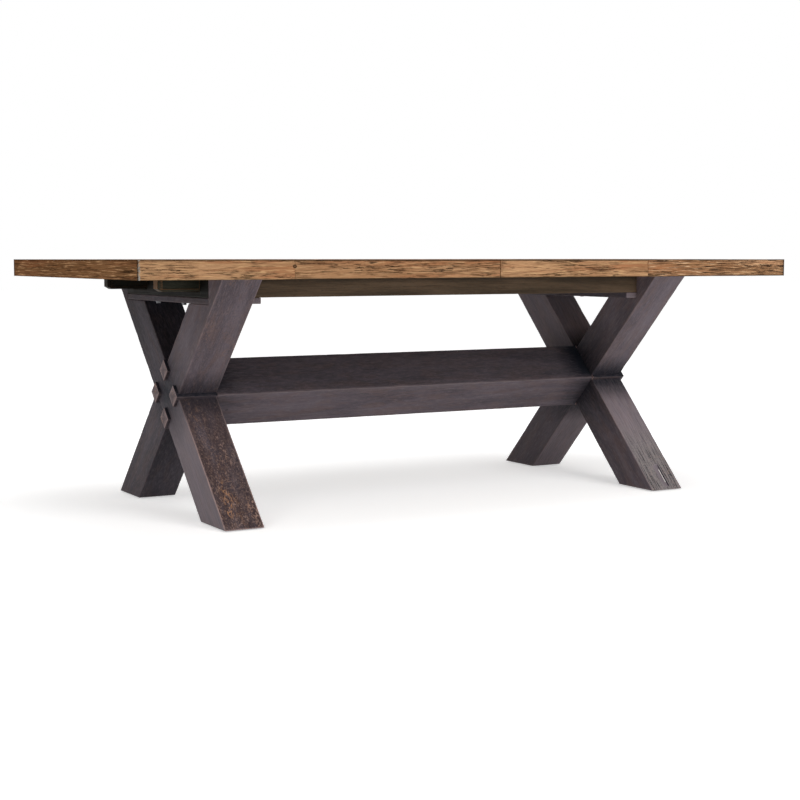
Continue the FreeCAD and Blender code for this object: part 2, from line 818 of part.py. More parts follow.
def make_battens(hand, side, let_in):
    """Two cleats across the planks, and a batten along the seam."""
    across = ("-field_side", "field_side")
    rise = ("cleat_base", "plank_base")
    cleats = [box(f"{hand}_cleat", span(side, f"{middle} - cleat_width / 2", f"{middle} + cleat_width / 2"),
                  across, rise) for middle in ("cleat_inner_place", "cleat_outer_place")]
    fitted(f"{hand}_cleats", group(f"{hand}_cleats_blank", cleats), let_in)
    seam = box(f"{hand}_seam_batten_blank", span(side, "seam_half", "seam_half + seam_batten_width"),
               across, rise)
    fitted(f"{hand}_seam_batten", seam, let_in)


def build_base():
    frame_screws = make_frame_screws()
    block_bolts, plate_bolts = make_bolts()
    glides = make_foot_glides()
    for hand, side in (("left", -1), ("right", 1)):
        pegs = make_pegs(side, f"{hand}_crossing_pegs")
        let_in = [pegs, frame_screws, block_bolts, glides]
        make_leg(f"{hand}_front_leg", side, -1, 1, let_in)
        make_leg(f"{hand}_back_leg", side, 1, -1, let_in)
        make_cross_plate(f"{hand}_cross_plate", side, [frame_screws, plate_bolts])
        make_end_rail(f"{hand}_end_rail", side, [frame_screws, plate_bolts])
        make_block(f"{hand}_stretcher_block", side, [frame_screws, block_bolts])
    for where, front in (("front", -1), ("back", 1)):
        make_apron(f"{where}_apron", front, [frame_screws])
        make_slide_rail(f"{where}_slide_rail", front, [frame_screws])
        make_stretcher_board(f"stretcher_upper_{where}_board", front, 1, [])
        make_stretcher_board(f"stretcher_lower_{where}_board", front, -1, [frame_screws])
        make_pinion(f"{where}_pinion", front)
    make_axles()


def build_top():
    pins = make_alignment_pins()
    for hand, side in (("left", -1), ("right", 1)):
        screws = make_top_screws(side, f"{hand}_top_screws")
        for index in range(plank_count):
            let_in = [screws, pins] if side < 0 else [screws]
            make_plank(f"{hand}_plank_{index + 1}", side, index, let_in)
        make_edge(f"{hand}_front_edge_inner", side, -1, "seam_half", False)
        make_edge(f"{hand}_front_edge_outer", side, -1, front_joints[side], True)
        make_edge(f"{hand}_back_edge", side, 1, "seam_half", True)
        make_end_board(f"{hand}_end_board", side)
        make_battens(hand, side, [screws])
        make_racks(f"{hand}_racks", side)
        for where, front in (("front", -1), ("back", 1)):
            make_runner(f"{where}_{hand}_runner", side, front, [screws])


build_base()
build_top()
doc.recompute()

for item in doc.Objects:
    if "Invalid" in item.State or "Error" in item.State:
        raise RuntimeError(f"{item.Label} failed: {item.State}")
for feature in pockets:
    before = feature.BaseFeature.Shape.Volume
    if not feature.Shape.Volume < before:
        raise RuntimeError(f"a cut in {feature.getParent().Label} removed nothing")
for node in nodes:
    if node.Shape.isNull() or not node.Shape.isValid():
        raise RuntimeError(f"{node.Label} has no valid shape")

os.makedirs("parts", exist_ok=True)
for node in nodes:
    node.Shape.exportStep(f"parts/{node.Label}.step")
print(len(nodes), "nodes")
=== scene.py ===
import json
import math

import bmesh
import bpy
import numpy as np
from mathutils import Matrix, Vector, noise

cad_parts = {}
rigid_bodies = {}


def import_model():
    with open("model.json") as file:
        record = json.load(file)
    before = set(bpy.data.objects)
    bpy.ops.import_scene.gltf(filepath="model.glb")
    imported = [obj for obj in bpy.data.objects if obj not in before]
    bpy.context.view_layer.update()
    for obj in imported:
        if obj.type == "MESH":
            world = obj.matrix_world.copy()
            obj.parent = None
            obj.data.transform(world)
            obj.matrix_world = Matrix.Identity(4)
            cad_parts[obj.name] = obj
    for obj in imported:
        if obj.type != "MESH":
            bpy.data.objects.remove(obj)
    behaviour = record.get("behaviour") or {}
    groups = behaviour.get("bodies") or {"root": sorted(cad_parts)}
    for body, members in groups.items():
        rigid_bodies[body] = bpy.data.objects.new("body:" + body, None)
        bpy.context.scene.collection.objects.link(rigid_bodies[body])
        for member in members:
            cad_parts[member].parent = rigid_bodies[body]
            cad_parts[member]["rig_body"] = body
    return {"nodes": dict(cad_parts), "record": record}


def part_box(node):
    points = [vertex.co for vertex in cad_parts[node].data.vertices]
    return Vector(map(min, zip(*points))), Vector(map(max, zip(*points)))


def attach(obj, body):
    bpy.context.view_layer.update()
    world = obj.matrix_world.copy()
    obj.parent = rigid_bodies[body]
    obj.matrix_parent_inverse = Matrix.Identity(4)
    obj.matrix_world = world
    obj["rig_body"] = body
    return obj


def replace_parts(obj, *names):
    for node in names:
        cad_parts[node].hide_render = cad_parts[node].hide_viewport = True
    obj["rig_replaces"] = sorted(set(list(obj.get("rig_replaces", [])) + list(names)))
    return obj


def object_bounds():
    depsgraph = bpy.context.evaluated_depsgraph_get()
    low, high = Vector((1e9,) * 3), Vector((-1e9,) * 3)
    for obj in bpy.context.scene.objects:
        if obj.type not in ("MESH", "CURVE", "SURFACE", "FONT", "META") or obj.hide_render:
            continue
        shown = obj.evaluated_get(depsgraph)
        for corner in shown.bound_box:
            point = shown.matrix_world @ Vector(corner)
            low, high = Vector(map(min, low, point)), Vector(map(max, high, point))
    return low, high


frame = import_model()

# Trestle extension dining table. Metres, X along the table, Y from front to back, Z up.

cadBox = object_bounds()
cadNodes = frame["nodes"]
slotOf = {part["node"]: part["material_slot"] for part in frame["record"]["subparts"]}
scene = bpy.context.scene
mm = 0.001
along, across, upward = Vector((1, 0, 0)), Vector((0, 1, 0)), Vector((0, 0, 1))


# Small helpers to build materials from nodes

def paint(red, green, blue):  # a colour as seen, 0 to 255, as the linear values that a socket takes
    linear = [((c / 255 + 0.055) / 1.055) ** 2.4 if c > 10 else c / 255 / 12.92 for c in (red, green, blue)]
    return (*linear, 1)


def newMaterial(name):
    made = bpy.data.materials.new(name)
    made.use_nodes = True
    return made, made.node_tree, made.node_tree.nodes["Principled BSDF"]


def feed(tree, value, socket):  # a plain value, or the output of another node
    if isinstance(value, bpy.types.NodeSocket):
        tree.links.new(value, socket)
    else:
        socket.default_value = value


def maths(tree, kind, first, second=0.0):
    step = tree.nodes.new("ShaderNodeMath")
    step.operation = kind
    feed(tree, first, step.inputs[0])
    feed(tree, second, step.inputs[1])
    return step.outputs[0]


def times(tree, first, second):
    return maths(tree, "MULTIPLY", first, second)


def larger(tree, first, second):
    return maths(tree, "MAXIMUM", first, second)


def grainOf(tree):
    source = tree.nodes.new("ShaderNodeAttribute")
    source.attribute_name = "grain"
    return source.outputs["Vector"]


def wearOf(tree, name="arris"):
    source = tree.nodes.new("ShaderNodeAttribute")
    source.attribute_name = name
    return source.outputs["Fac"]


def stretched(tree, where, stretch):
    scaled = tree.nodes.new("ShaderNodeVectorMath")
    scaled.operation = "MULTIPLY"
    feed(tree, where, scaled.inputs[0])
    scaled.inputs[1].default_value = stretch
    return scaled.outputs[0]


def cloud(tree, where, stretch, detail=3, roughness=0.5, distortion=0.0):
    made = tree.nodes.new("ShaderNodeTexNoise")
    feed(tree, stretched(tree, where, stretch), made.inputs["Vector"])
    made.inputs["Scale"].default_value = 1
    made.inputs["Detail"].default_value = detail
    made.inputs["Roughness"].default_value = roughness
    made.inputs["Distortion"].default_value = distortion
    return made.outputs[0]


def between(tree, value, low, high, start=0.0, end=1.0):  # eased from start at low to end at high
    made = tree.nodes.new("ShaderNodeMapRange")
    made.interpolation_type = "SMOOTHSTEP"
    feed(tree, value, made.inputs["Value"])
    for socket, number in (("From Min", low), ("From Max", high), ("To Min", start), ("To Max", end)):
        made.inputs[socket].default_value = number
    return made.outputs["Result"]


def blended(tree, share, first, second, kind="MIX"):
    made = tree.nodes.new("ShaderNodeMix")
    made.data_type = "RGBA"
    made.blend_type = kind
    feed(tree, share, made.inputs[0])
    feed(tree, first, made.inputs[6])
    feed(tree, second, made.inputs[7])
    return made.outputs[2]


def embossed(tree, height, distance, strength=1.0, below=None):
    made = tree.nodes.new("ShaderNodeBump")
    feed(tree, height, made.inputs["Height"])
    made.inputs["Distance"].default_value = distance
    made.inputs["Strength"].default_value = strength
    if below:
        feed(tree, below, made.inputs["Normal"])
    return made.outputs["Normal"]


def lightPath(tree, *rays):  # 1 for any of these kinds of ray
    path = tree.nodes.new("ShaderNodeLightPath")
    total = path.outputs[rays[0]]
    for ray in rays[1:]:
        total = larger(tree, total, path.outputs[ray])
    return total


# Camera, floor and light

viewpoint = {"place": (-2.490, -4.378, 0.7685), "pitch": 84.69, "turn": -29.54, "lens": 69.09, "sensor": 36}

cameraData = bpy.data.cameras.new("photoCamera")
cameraData.lens = viewpoint["lens"]
cameraData.sensor_width = viewpoint["sensor"]
camera = bpy.data.objects.new("photoCamera", cameraData)
camera.location = viewpoint["place"]
camera.rotation_euler = (math.radians(viewpoint["pitch"]), 0, math.radians(viewpoint["turn"]))
scene.collection.objects.link(camera)
scene.camera = camera
scene.view_settings.view_transform = "Standard"

studio = {
    "floorSize": 60, "floorTone": 0.90, "roomTone": 0.40,
    "liftNear": 0.47, "liftFar": 0.66, "near": 2.2, "far": 6.0,
    "lamps": [  # name, place, aimed at, size, watts
        ("frontSoftbox", (1.2, -3.8, 2.9), (0.2, 0, 0.4), 2.6, 85),
        ("leftSoftbox", (-4.0, -1.8, 2.9), (-0.8, 0, 0.4), 2.0, 34),
        ("lowSoftbox", (0.9, -4.4, 0.5), (0.2, 0, 0.5), 1.8, 26),
        ("overheadSoftbox", (0.3, 0.4, 4.2), (0, 0, 0), 3.0, 80),
    ],
}


def makeRoom():
    world = bpy.data.worlds.new("studio")
    scene.world = world
    world.use_nodes = True
    tree = world.node_tree
    background = tree.nodes["Background"]
    seen = lightPath(tree, "Is Camera Ray", "Is Glossy Ray", "Is Transmission Ray")
    strength = tree.nodes.new("ShaderNodeMix")
    feed(tree, seen, strength.inputs["Factor"])
    strength.inputs["A"].default_value = studio["roomTone"]
    strength.inputs["B"].default_value = 1
    background.inputs["Color"].default_value = (1, 1, 1, 1)
    feed(tree, strength.outputs["Result"], background.inputs["Strength"])


def makeFloor():
    bm = bmesh.new()
    bmesh.ops.create_grid(bm, x_segments=1, y_segments=1, size=studio["floorSize"] / 2)
    mesh = bpy.data.meshes.new("floor")
    bm.to_mesh(mesh)
    bm.free()
    floor = bpy.data.objects.new("floor", mesh)
    scene.collection.objects.link(floor)
    made, tree, shader = newMaterial("paleFloor")
    tone = studio["floorTone"]
    shader.inputs["Base Color"].default_value = (tone, tone, tone, 1)
    shader.inputs["Roughness"].default_value = 0.9
    shader.inputs["Specular IOR Level"].default_value = 0.1
    # the camera sees the floor white as far as it goes, with the shadow left in it
    spot = tree.nodes.new("ShaderNodeTexCoord").outputs["Object"]
    reach = tree.nodes.new("ShaderNodeVectorMath")
    reach.operation = "LENGTH"
    feed(tree, spot, reach.inputs[0])
    ends = [studio[name] for name in ("near", "far", "liftNear", "liftFar")]
    away = between(tree, reach.outputs["Value"], *ends)
    lift = times(tree, lightPath(tree, "Is Camera Ray", "Is Glossy Ray"), away)
    shader.inputs["Emission Color"].default_value = (1, 1, 1, 1)
    feed(tree, lift, shader.inputs["Emission Strength"])
    mesh.materials.append(made)


def makeLamps():
    for name, place, target, size, watts in studio["lamps"]:
        lamp = bpy.data.lights.new(name, "AREA")
        lamp.size = size
        lamp.energy = watts
        holder = bpy.data.objects.new(name, lamp)
        holder.location = place
        aim = Vector(target) - Vector(place)
        holder.rotation_euler = aim.to_track_quat("-Z", "Y").to_euler()
        scene.collection.objects.link(holder)


makeRoom()
makeFloor()
makeLamps()
print("studio ready")


# Finishes, each made of nodes that read the piece's own grain: its first axis runs along the wood

def agedWood(name, look):
    # streaked brown wood with dark glaze left in pits, checks and knots
    made, tree, shader = newMaterial(name)
    grain = stretched(tree, grainOf(tree), (look["run"], 1, 1))
    tone = cloud(tree, grain, (1.6, 11, 11), 3, 0.55, 0.4)
    colour = blended(tree, between(tree, tone, 0.36, 0.64), look["light"], look["middle"])
    # the lengths that a board is finger-jointed from
    lengths = tree.nodes.new("ShaderNodeTexVoronoi")
    lengths.inputs["Scale"].default_value = 1
    feed(tree, stretched(tree, grain, (5.5, 0.02, 0.02)), lengths.inputs["Vector"])
    split = tree.nodes.new("ShaderNodeSeparateColor")
    feed(tree, lengths.outputs["Color"], split.inputs[0])
    colour = blended(tree, times(tree, split.outputs[0], look["lengths"]), colour, look["middle"])
    band = cloud(tree, grain, (2.6, 60, 60), 4, 0.6, 0.3)
    colour = blended(tree, between(tree, band, 0.44, 0.72, 0, look["bands"]), colour, look["red"])
    pale = cloud(tree, grain, (16, 260, 260), 4, 0.6, 0.3)
    colour = blended(tree, between(tree, pale, 0.52, 0.66, 0, look["pales"]), colour, look["pale"])
    streak = cloud(tree, grain, (17, 400, 400), 6, 0.7, 0.35)
    gather = cloud(tree, grain, (5, 44, 44), 3, 0.55, 0.4)
    loose = between(tree, gather, look["gather"], look["gather"] + 0.2, 0.3, 1)
    streaked = times(tree, between(tree, streak, 0.49, 0.57), loose)
    colour = blended(tree, times(tree, streaked, look["streaks"]), colour, look["dark"])
    crack = cloud(tree, grain, (14, 430, 430), 4, 0.62, 0.3)
    dense = between(tree, gather, look["gather"] + 0.04, look["gather"] + 0.16)
    cracks = times(tree, between(tree, crack, 0.55, 0.60), dense)
    colour = blended(tree, times(tree, cracks, look["cracks"]), colour, look["glaze"])
    fibre = cloud(tree, grain, (40, 1500, 1500), 3, 0.6)
    colour = blended(tree, between(tree, fibre, 0.5, 0.78, 0, 0.45), colour, look["dark"])
    where = cloud(tree, grain, (3.6, 30, 30), 2, 0.5, 0.5)
    pit = cloud(tree, grain, (24, 300, 300), 6, 0.7, 0.3)
    pits = times(tree, between(tree, where, 0.46, 0.58), between(tree, pit, 0.52, 0.60))
    knots, rings = knotted(tree, grain, look)
    colour = blended(tree, rings, colour, look["dark"])
    marks = larger(tree, pits, knots)
    colour = blended(tree, times(tree, marks, look["pits"]), colour, look["glaze"])
    # the one knot in the front of the top, where two lengths meet
    source = tree.nodes.new("ShaderNodeTexCoord").outputs["Object"]
    reach = tree.nodes.new("ShaderNodeVectorMath")
    reach.operation = "DISTANCE"
    feed(tree, stretched(tree, source, (0.8, 1, 1)), reach.inputs[0])
    reach.inputs[1].default_value = (0.8 * look["knot"][0], look["knot"][1], look["knot"][2])
    away = maths(tree, "ADD", reach.outputs["Value"], times(tree, pit, 4 * mm))
    colour = blended(tree, between(tree, away, 5.5 * mm, 8.5 * mm, 0.9, 0), colour, look["glaze"])
    colour = blended(tree, between(tree, away, 2.5 * mm, 5 * mm, 0.55, 0), colour, look["middle"])
    # painted highlight along the lower arris of the edge boards
    rim = times(tree, wearOf(tree, "rubbedAndLit"), between(tree, streak, 0.30, 0.62, 1.0, 0.4))
    colour = blended(tree, times(tree, rim, look["rim"]), colour, look["rimTone"])
    # darker along the top arris, painted shade under the lower arris and at the far corners, and dark glaze
    # in the plank grooves
    paintedShadeAndGlaze = times(tree, wearOf(tree, "grime"), between(tree, streak, 0.30, 0.62, 0.75, 1.0))
    colour = blended(tree, paintedShadeAndGlaze, colour, look["glaze"])
    # the near upright corner pale, partly worn and partly a painted highlight
    spots = cloud(tree, grain, (130, 130, 130), 3, 0.6)
    worn = times(tree, wearOf(tree, "flecks"), between(tree, spots, 0.50, 0.54, 1.0, 0.1))
    colour = blended(tree, worn, colour, look["worn"])
    feed(tree, colour, shader.inputs["Base Color"])
    dull = between(tree, pit, 0.35, 0.7, look["sheen"], look["sheen"] + 0.22)
    feed(tree, dull, shader.inputs["Roughness"])
    shader.inputs["Specular IOR Level"].default_value = 0.0
    ground = embossed(tree, between(tree, fibre, 0.3, 0.75, 1, 0), 0.12 * mm)
    lines = embossed(tree, between(tree, streak, 0.35, 0.75, 1, 0), 0.35 * mm, 1.0, ground)
    feed(tree, embossed(tree, marks, -0.9 * mm, 1.0, lines), shader.inputs["Normal"])
    return made


def knotted(tree, grain, look):
    # dark hearts, and the rings that the grain makes round them
    cells = tree.nodes.new("ShaderNodeTexVoronoi")
    swayed = cloud(tree, grain, (14, 20, 20), 2)
    moved = tree.nodes.new("ShaderNodeVectorMath")
    moved.operation = "ADD"
    feed(tree, stretched(tree, grain, look["knotSpread"]), moved.inputs[0])
    nudge = tree.nodes.new("ShaderNodeCombineXYZ")
    for axis in "XYZ":
        feed(tree, times(tree, swayed, 0.16), nudge.inputs[axis])
    feed(tree, nudge.outputs[0], moved.inputs[1])
    feed(tree, moved.outputs[0], cells.inputs["Vector"])
    cells.inputs["Scale"].default_value = 1
    split = tree.nodes.new("ShaderNodeSeparateColor")
    feed(tree, cells.outputs["Color"], split.inputs[0])
    chosen = between(tree, split.outputs[0], look["knotRarity"], look["knotRarity"] + 0.01)
    distance = cells.outputs["Distance"]
    heart = times(tree, chosen, between(tree, distance, 0.035, 0.06, 1, 0))
    wave = maths(tree, "SINE", times(tree, distance, 150))
    near = between(tree, distance, 0.08, 0.22, 0.7, 0)
    rings = times(tree, chosen, times(tree, near, between(tree, wave, -0.4, 1)))
    return heart, rings


def rubbedWood(name, look):
    # dark stain over open grain, rubbed through in places and painted lighter where lit, with a crackled top
    # coat where flecks are marked, and painted shade where shade is marked
    made, tree, shader = newMaterial(name)
    grain = grainOf(tree)
    tone = cloud(tree, grain, (2.4, 14, 14), 4, 0.6, 0.6)
    colour = blended(tree, between(tree, tone, 0.34, 0.66), look["dark"], look["body"])
    hue = cloud(tree, grain, (8, 32, 32), 4, 0.6, 0.8)
    colour = blended(tree, between(tree, hue, 0.42, 0.64, 0, 0.55), colour, look["warm"])
    mottle = cloud(tree, grain, (45, 210, 210), 5, 0.7, 0.4)
    colour = blended(tree, between(tree, mottle, 0.50, 0.66, 0, look["mottle"]), colour, look["light"])
    colour = blended(tree, between(tree, mottle, 0.34, 0.48, look["mottle"], 0), colour, look["grime"])
    brush = cloud(tree, grain, (15, 520, 520), 4, 0.6, 0.25)
    patch = cloud(tree, grain, (3, 16, 16), 3, 0.5)
    # the rubbed marks carry wear and painted light alike
    rubbedAndLit = wearOf(tree, "rubbedAndLit")
    bare = maths(tree, "ADD", between(tree, patch, 0.36, 0.66, 0.2, 0.7), rubbedAndLit)
    rub = times(tree, between(tree, brush, 0.42, 0.64, 0.3, 1), bare)
    colour = blended(tree, times(tree, rub, look["brush"]), colour, look["light"])
    colour = blended(tree, times(tree, rubbedAndLit, look["lift"]), colour, look["light"])
    handled = maths(tree, "ADD", rubbedAndLit, 0.3)
    furrow = times(tree, between(tree, brush, 0.34, 0.46, 1, 0), handled)
    colour = blended(tree, times(tree, furrow, look["lines"]), colour, look["grime"])
    # long dark checks where the wood is rubbed most
    check = cloud(tree, grain, (12, 290, 290), 4, 0.62, 0.2)
    worn = between(tree, rubbedAndLit, 1.15, 1.55)
    colour = blended(tree, times(tree, worn, 0.6), colour, look["bleached"])
    checked = times(tree, between(tree, check, 0.50, 0.60, 0, 0.8), worn)
    colour = blended(tree, checked, colour, look["grime"])
    colour = blended(tree, between(tree, rubbedAndLit, 2.0, 3.0), colour, look["raw"])
    marked = wearOf(tree, "flecks")
    warm = cloud(tree, grain, (5, 30, 30), 4, 0.6, 0.6)
    browned = times(tree, between(tree, warm, 0.30, 0.60, 0.4, 1), marked)
    colour = blended(tree, times(tree, browned, look["warmth"]), colour, look["brown"])
    # fine grains of bare wood and of dark wax
    grit = cloud(tree, grain, (170, 230, 230), 3, 0.65)
    bareness = maths(tree, "ADD", larger(tree, marked, times(tree, worn, 0.6)), look["grit"])
    gritty = times(tree, bareness, between(tree, patch, 0.3, 0.6, 0.5, 1))
    gritted = times(tree, between(tree, grit, 0.54, 0.66, 0, 0.6), gritty)
    colour = blended(tree, gritted, colour, look["fleck"])
    waxed = times(tree, between(tree, grit, 0.34, 0.45, 0.5, 0), larger(tree, marked, worn))
    colour = blended(tree, waxed, colour, look["grime"])
    # the crackle: short lit ridges between dark cells
    swirl = cloud(tree, grain, (50, 50, 50), 2, 0.5)
    bent = tree.nodes.new("ShaderNodeVectorMath")
    bent.operation = "ADD"
    feed(tree, stretched(tree, grain, look["crackle"]), bent.inputs[0])
    turn = tree.nodes.new("ShaderNodeCombineXYZ")
    for axis in "XYZ":
        feed(tree, times(tree, swirl, 1.4), turn.inputs[axis])
    feed(tree, turn.outputs[0], bent.inputs[1])
    cells = tree.nodes.new("ShaderNodeTexVoronoi")
    cells.feature = "DISTANCE_TO_EDGE"
    cells.inputs["Scale"].default_value = 1
    feed(tree, bent.outputs[0], cells.inputs["Vector"])
    ridge = between(tree, cells.outputs["Distance"], 0.05, 0.20, 1, 0)
    broken = cloud(tree, grain, (40, 70, 70), 3, 0.6)
    field = cloud(tree, grain, (7, 20, 20), 3, 0.55)
    flecks = times(tree, ridge, between(tree, broken, 0.46, 0.56))
    flecks = times(tree, flecks, between(tree, field, 0.50, 0.64, 0.15, 0.9))
    flecks = times(tree, flecks, marked)
    fleckTone = blended(tree, between(tree, patch, 0.4, 0.6), look["fleck"], look["copper"])
    colour = blended(tree, flecks, colour, fleckTone)
    rim = times(tree, wearOf(tree), between(tree, brush, 0.36, 0.60, 0.35, 1.0))
    bright = maths(tree, "ADD", times(tree, marked, 1.4), look["rim"])
    rim = times(tree, rim, bright)
    colour = blended(tree, maths(tree, "MINIMUM", rim, 1.0), colour, look["rimTone"])
    # painted shade where pieces are marked shaded: the crossings, the peg sides, the stretcher and the heads
    # under the top
    paintedShade = times(tree, wearOf(tree, "grime"), between(tree, mottle, 0.36, 0.64, 1.08, 0.86))
    colour = blended(tree, maths(tree, "MINIMUM", paintedShade, 1.0), colour, look["grime"])
    feed(tree, colour, shader.inputs["Base Color"])
    dull = between(tree, brush, 0.3, 0.7, look["sheen"], look["sheen"] + 0.2)
    feed(tree, dull, shader.inputs["Roughness"])
    shader.inputs["Specular IOR Level"].default_value = 0.1
    ground = embossed(tree, brush, 0.3 * mm)
    raised = times(tree, ridge, marked)
    feed(tree, embossed(tree, raised, look["relief"] * mm, 1.0, ground), shader.inputs["Normal"])
    return made


def stainedWood(name, look, place="grain", turn=(0, 0, 0)):
    # plain planed wood under one stain, for the frame, the slides and the battens
    made, tree, shader = newMaterial(name)
    if place == "grain":
        grain = grainOf(tree)
    else:
        source = tree.nodes.new("ShaderNodeTexCoord")
        turned = tree.nodes.new("ShaderNodeMapping")
        turned.inputs["Rotation"].default_value = [math.radians(angle) for angle in turn]
        feed(tree, source.outputs["Object"], turned.inputs["Vector"])
        grain = turned.outputs[0]
    tone = cloud(tree, grain, (2, 16, 16), 4, 0.55, 0.5)
    colour = blended(tree, between(tree, tone, 0.34, 0.68), look["dark"], look["light"])
    streak = cloud(tree, grain, (6, 180, 180), 5, 0.65, 0.3)
    colour = blended(tree, between(tree, streak, 0.45, 0.75, 0, look["streaks"]), colour, look["line"])
    pore = cloud(tree, grain, (45, 900, 900), 3, 0.6)
    colour = blended(tree, between(tree, pore, 0.55, 0.70, 0, 0.5), colour, look["line"])
    spot = cloud(tree, grain, (26, 70, 70), 3, 0.5, 0.5)
    colour = blended(tree, between(tree, spot, 0.66, 0.74, 0, 0.5), colour, look["line"])
    rim = times(tree, wearOf(tree), between(tree, streak, 0.36, 0.60, 0.2, 1.0))
    colour = blended(tree, times(tree, rim, look["rim"]), colour, look["rimTone"])
    colour = blended(tree, wearOf(tree, "flecks"), colour, look["rimTone"])
    # painted shade: the apron under the top and the back slides
    colour = blended(tree, wearOf(tree, "grime"), colour, look["line"])
    feed(tree, colour, shader.inputs["Base Color"])
    dull = between(tree, streak, 0.3, 0.7, look["sheen"], look["sheen"] + 0.18)
    feed(tree, dull, shader.inputs["Roughness"])
    shader.inputs["Specular IOR Level"].default_value = 0.08
    ground = embossed(tree, between(tree, pore, 0.4, 0.7, 1, 0), 0.10 * mm)
    lines = embossed(tree, between(tree, streak, 0.35, 0.75, 1, 0), 0.25 * mm, 1, ground)
    feed(tree, lines, shader.inputs["Normal"])
    return made


def platedSteel(name, look):
    # zinc plate: pale blotches, fine scratches and a little dulling
    made, tree, shader = newMaterial(name)
    source = tree.nodes.new("ShaderNodeTexCoord").outputs["Object"]
    blotch = cloud(tree, source, (260, 260, 260), 4, 0.6)
    colour = blended(tree, between(tree, blotch, 0.35, 0.65), look["dull"], look["bright"])
    scratch = cloud(tree, source, (900, 90, 2400), 2, 0.5)
    feed(tree, colour, shader.inputs["Base Color"])
    feed(tree, between(tree, blotch, 0.3, 0.7, 0.34, 0.52), shader.inputs["Roughness"])
    shader.inputs["Metallic"].default_value = 1
    feed(tree, embossed(tree, scratch, 0.03 * mm), shader.inputs["Normal"])
    return made


def mouldedNylon(name, look):
    made, tree, shader = newMaterial(name)
    source = tree.nodes.new("ShaderNodeTexCoord").outputs["Object"]
    scuff = cloud(tree, source, (160, 160, 160), 4, 0.6)
    colour = blended(tree, between(tree, scuff, 0.45, 0.7), look["dark"], look["scuffed"])
    feed(tree, colour, shader.inputs["Base Color"])
    feed(tree, between(tree, scuff, 0.3, 0.7, 0.45, 0.65), shader.inputs["Roughness"])
    pebbled = cloud(tree, source, (1800, 1800, 1800), 2)
    feed(tree, embossed(tree, pebbled, 0.03 * mm), shader.inputs["Normal"])
    return made


topLook = {
    "light": paint(190, 149, 111), "middle": paint(163, 122, 87), "red": paint(160, 100, 66),
    "pale": paint(208, 168, 122), "dark": paint(92, 62, 42), "glaze": paint(42, 32, 26),
    "rimTone": paint(206, 168, 126), "worn": paint(158, 152, 144),
    "lengths": 0.5, "bands": 0.6, "pales": 0.65, "streaks": 0.78, "cracks": 0.85, "pits": 0.85, "rim": 0.7,
    "run": 1, "gather": 0.40, "sheen": 0.55,
    "knotSpread": (5.5, 11, 11), "knotRarity": 0.90,
    "knot": (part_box("left_front_edge_outer")[1].x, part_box("left_front_edge_outer")[0].y, 0.744),
}
deepLook = {
    **topLook, "light": paint(183, 142, 105), "middle": paint(156, 115, 81), "pale": paint(202, 162, 120),
}
boldLook = {
    **deepLook, "light": paint(194, 154, 118), "pale": paint(220, 182, 142), "dark": paint(88, 62, 44),
    "pales": 0.9, "streaks": 0.92, "cracks": 1.0, "gather": 0.30,
}
endLook = {
    **topLook, "light": paint(168, 124, 86), "middle": paint(132, 94, 62), "red": paint(156, 96, 64),
    "pale": paint(212, 164, 120), "dark": paint(60, 40, 25), "rimTone": paint(172, 134, 98),
    "glaze": paint(46, 31, 20), "bands": 0.7, "pales": 0.9, "streaks": 0.9, "cracks": 0.7, "run": 0.5,
}
# the blue-black serves as dark wax and as painted shade
baseLook = {
    "dark": paint(72, 65, 72), "body": paint(100, 91, 99), "light": paint(150, 139, 144),
    "brown": paint(66, 50, 47), "warm": paint(102, 83, 80), "fleck": paint(156, 130, 120),
    "copper": paint(178, 131, 97), "rimTone": paint(178, 154, 150), "grime": paint(25, 28, 36),
    "bleached": paint(134, 130, 127), "raw": paint(235, 230, 226),
    "brush": 0.26, "mottle": 0.2, "lift": 0.36, "lines": 0.22, "warmth": 0.82, "grit": 0.16, "rim": 0.22,
    "sheen": 0.55, "relief": 0.5, "crackle": (62, 112, 112),
}
frameLook = {
    "dark": paint(72, 61, 49), "light": paint(104, 87, 70), "line": paint(44, 37, 31),
    "rimTone": paint(120, 102, 82), "streaks": 0.5, "rim": 0.35, "sheen": 0.55,
}
# the end rail: the frame's wood painted as it looks in shade under the top
railShadeLook = {
    "dark": paint(14, 13, 10), "light": paint(24, 21, 16), "line": paint(10, 9, 7),
    "rimTone": paint(60, 52, 42), "streaks": 0.5, "rim": 0.3, "sheen": 0.55,
}
slideLook = {
    "dark": paint(34, 36, 30), "light": paint(56, 57, 48), "line": paint(22, 20, 16),
    "rimTone": paint(124, 92, 64), "streaks": 0.5, "rim": 0.6, "sheen": 0.5,
}
battenLook = {
    "dark": paint(134, 104, 72), "light": paint(172, 140, 100), "line": paint(96, 72, 48),
    "rimTone": paint(186, 156, 116), "streaks": 0.5, "rim": 0.3, "sheen": 0.6,
}

topWood = agedWood("agedTopWood", topLook)
deepWood = agedWood("agedDeepWood", deepLook)
boldWood = agedWood("agedBoldWood", boldLook)
endWood = agedWood("agedEndWood", endLook)
baseWood = rubbedWood("rubbedCharcoal", baseLook)
frameWood = stainedWood("taupeFrame", frameLook)
shadedRailWood = stainedWood("darkEndRail", railShadeLook)
slideWood = stainedWood("waxedSlide", slideLook)
battenWood = stainedWood("bareBatten", battenLook)
finishOf = {
    "top_wood": topWood, "base_wood": baseWood, "frame_wood": frameWood,
    "slide_wood": slideWood, "batten_wood": battenWood,
}
print("finishes ready")


# How a piece of wood is worked up

def camelName(node):
    first, *rest = node.split("_")
    return first + "".join(word.title() for word in rest)


def sharpEdges(bm, shortest=4 * mm, angle=35):
    # convex arrises worth easing
    return [edge for edge in bm.edges if edge.is_manifold and edge.is_convex
            and edge.calc_face_angle() > math.radians(angle) and edge.calc_length() > shortest]


def whole(bm):
    return bm.verts[:] + bm.edges[:] + bm.faces[:]


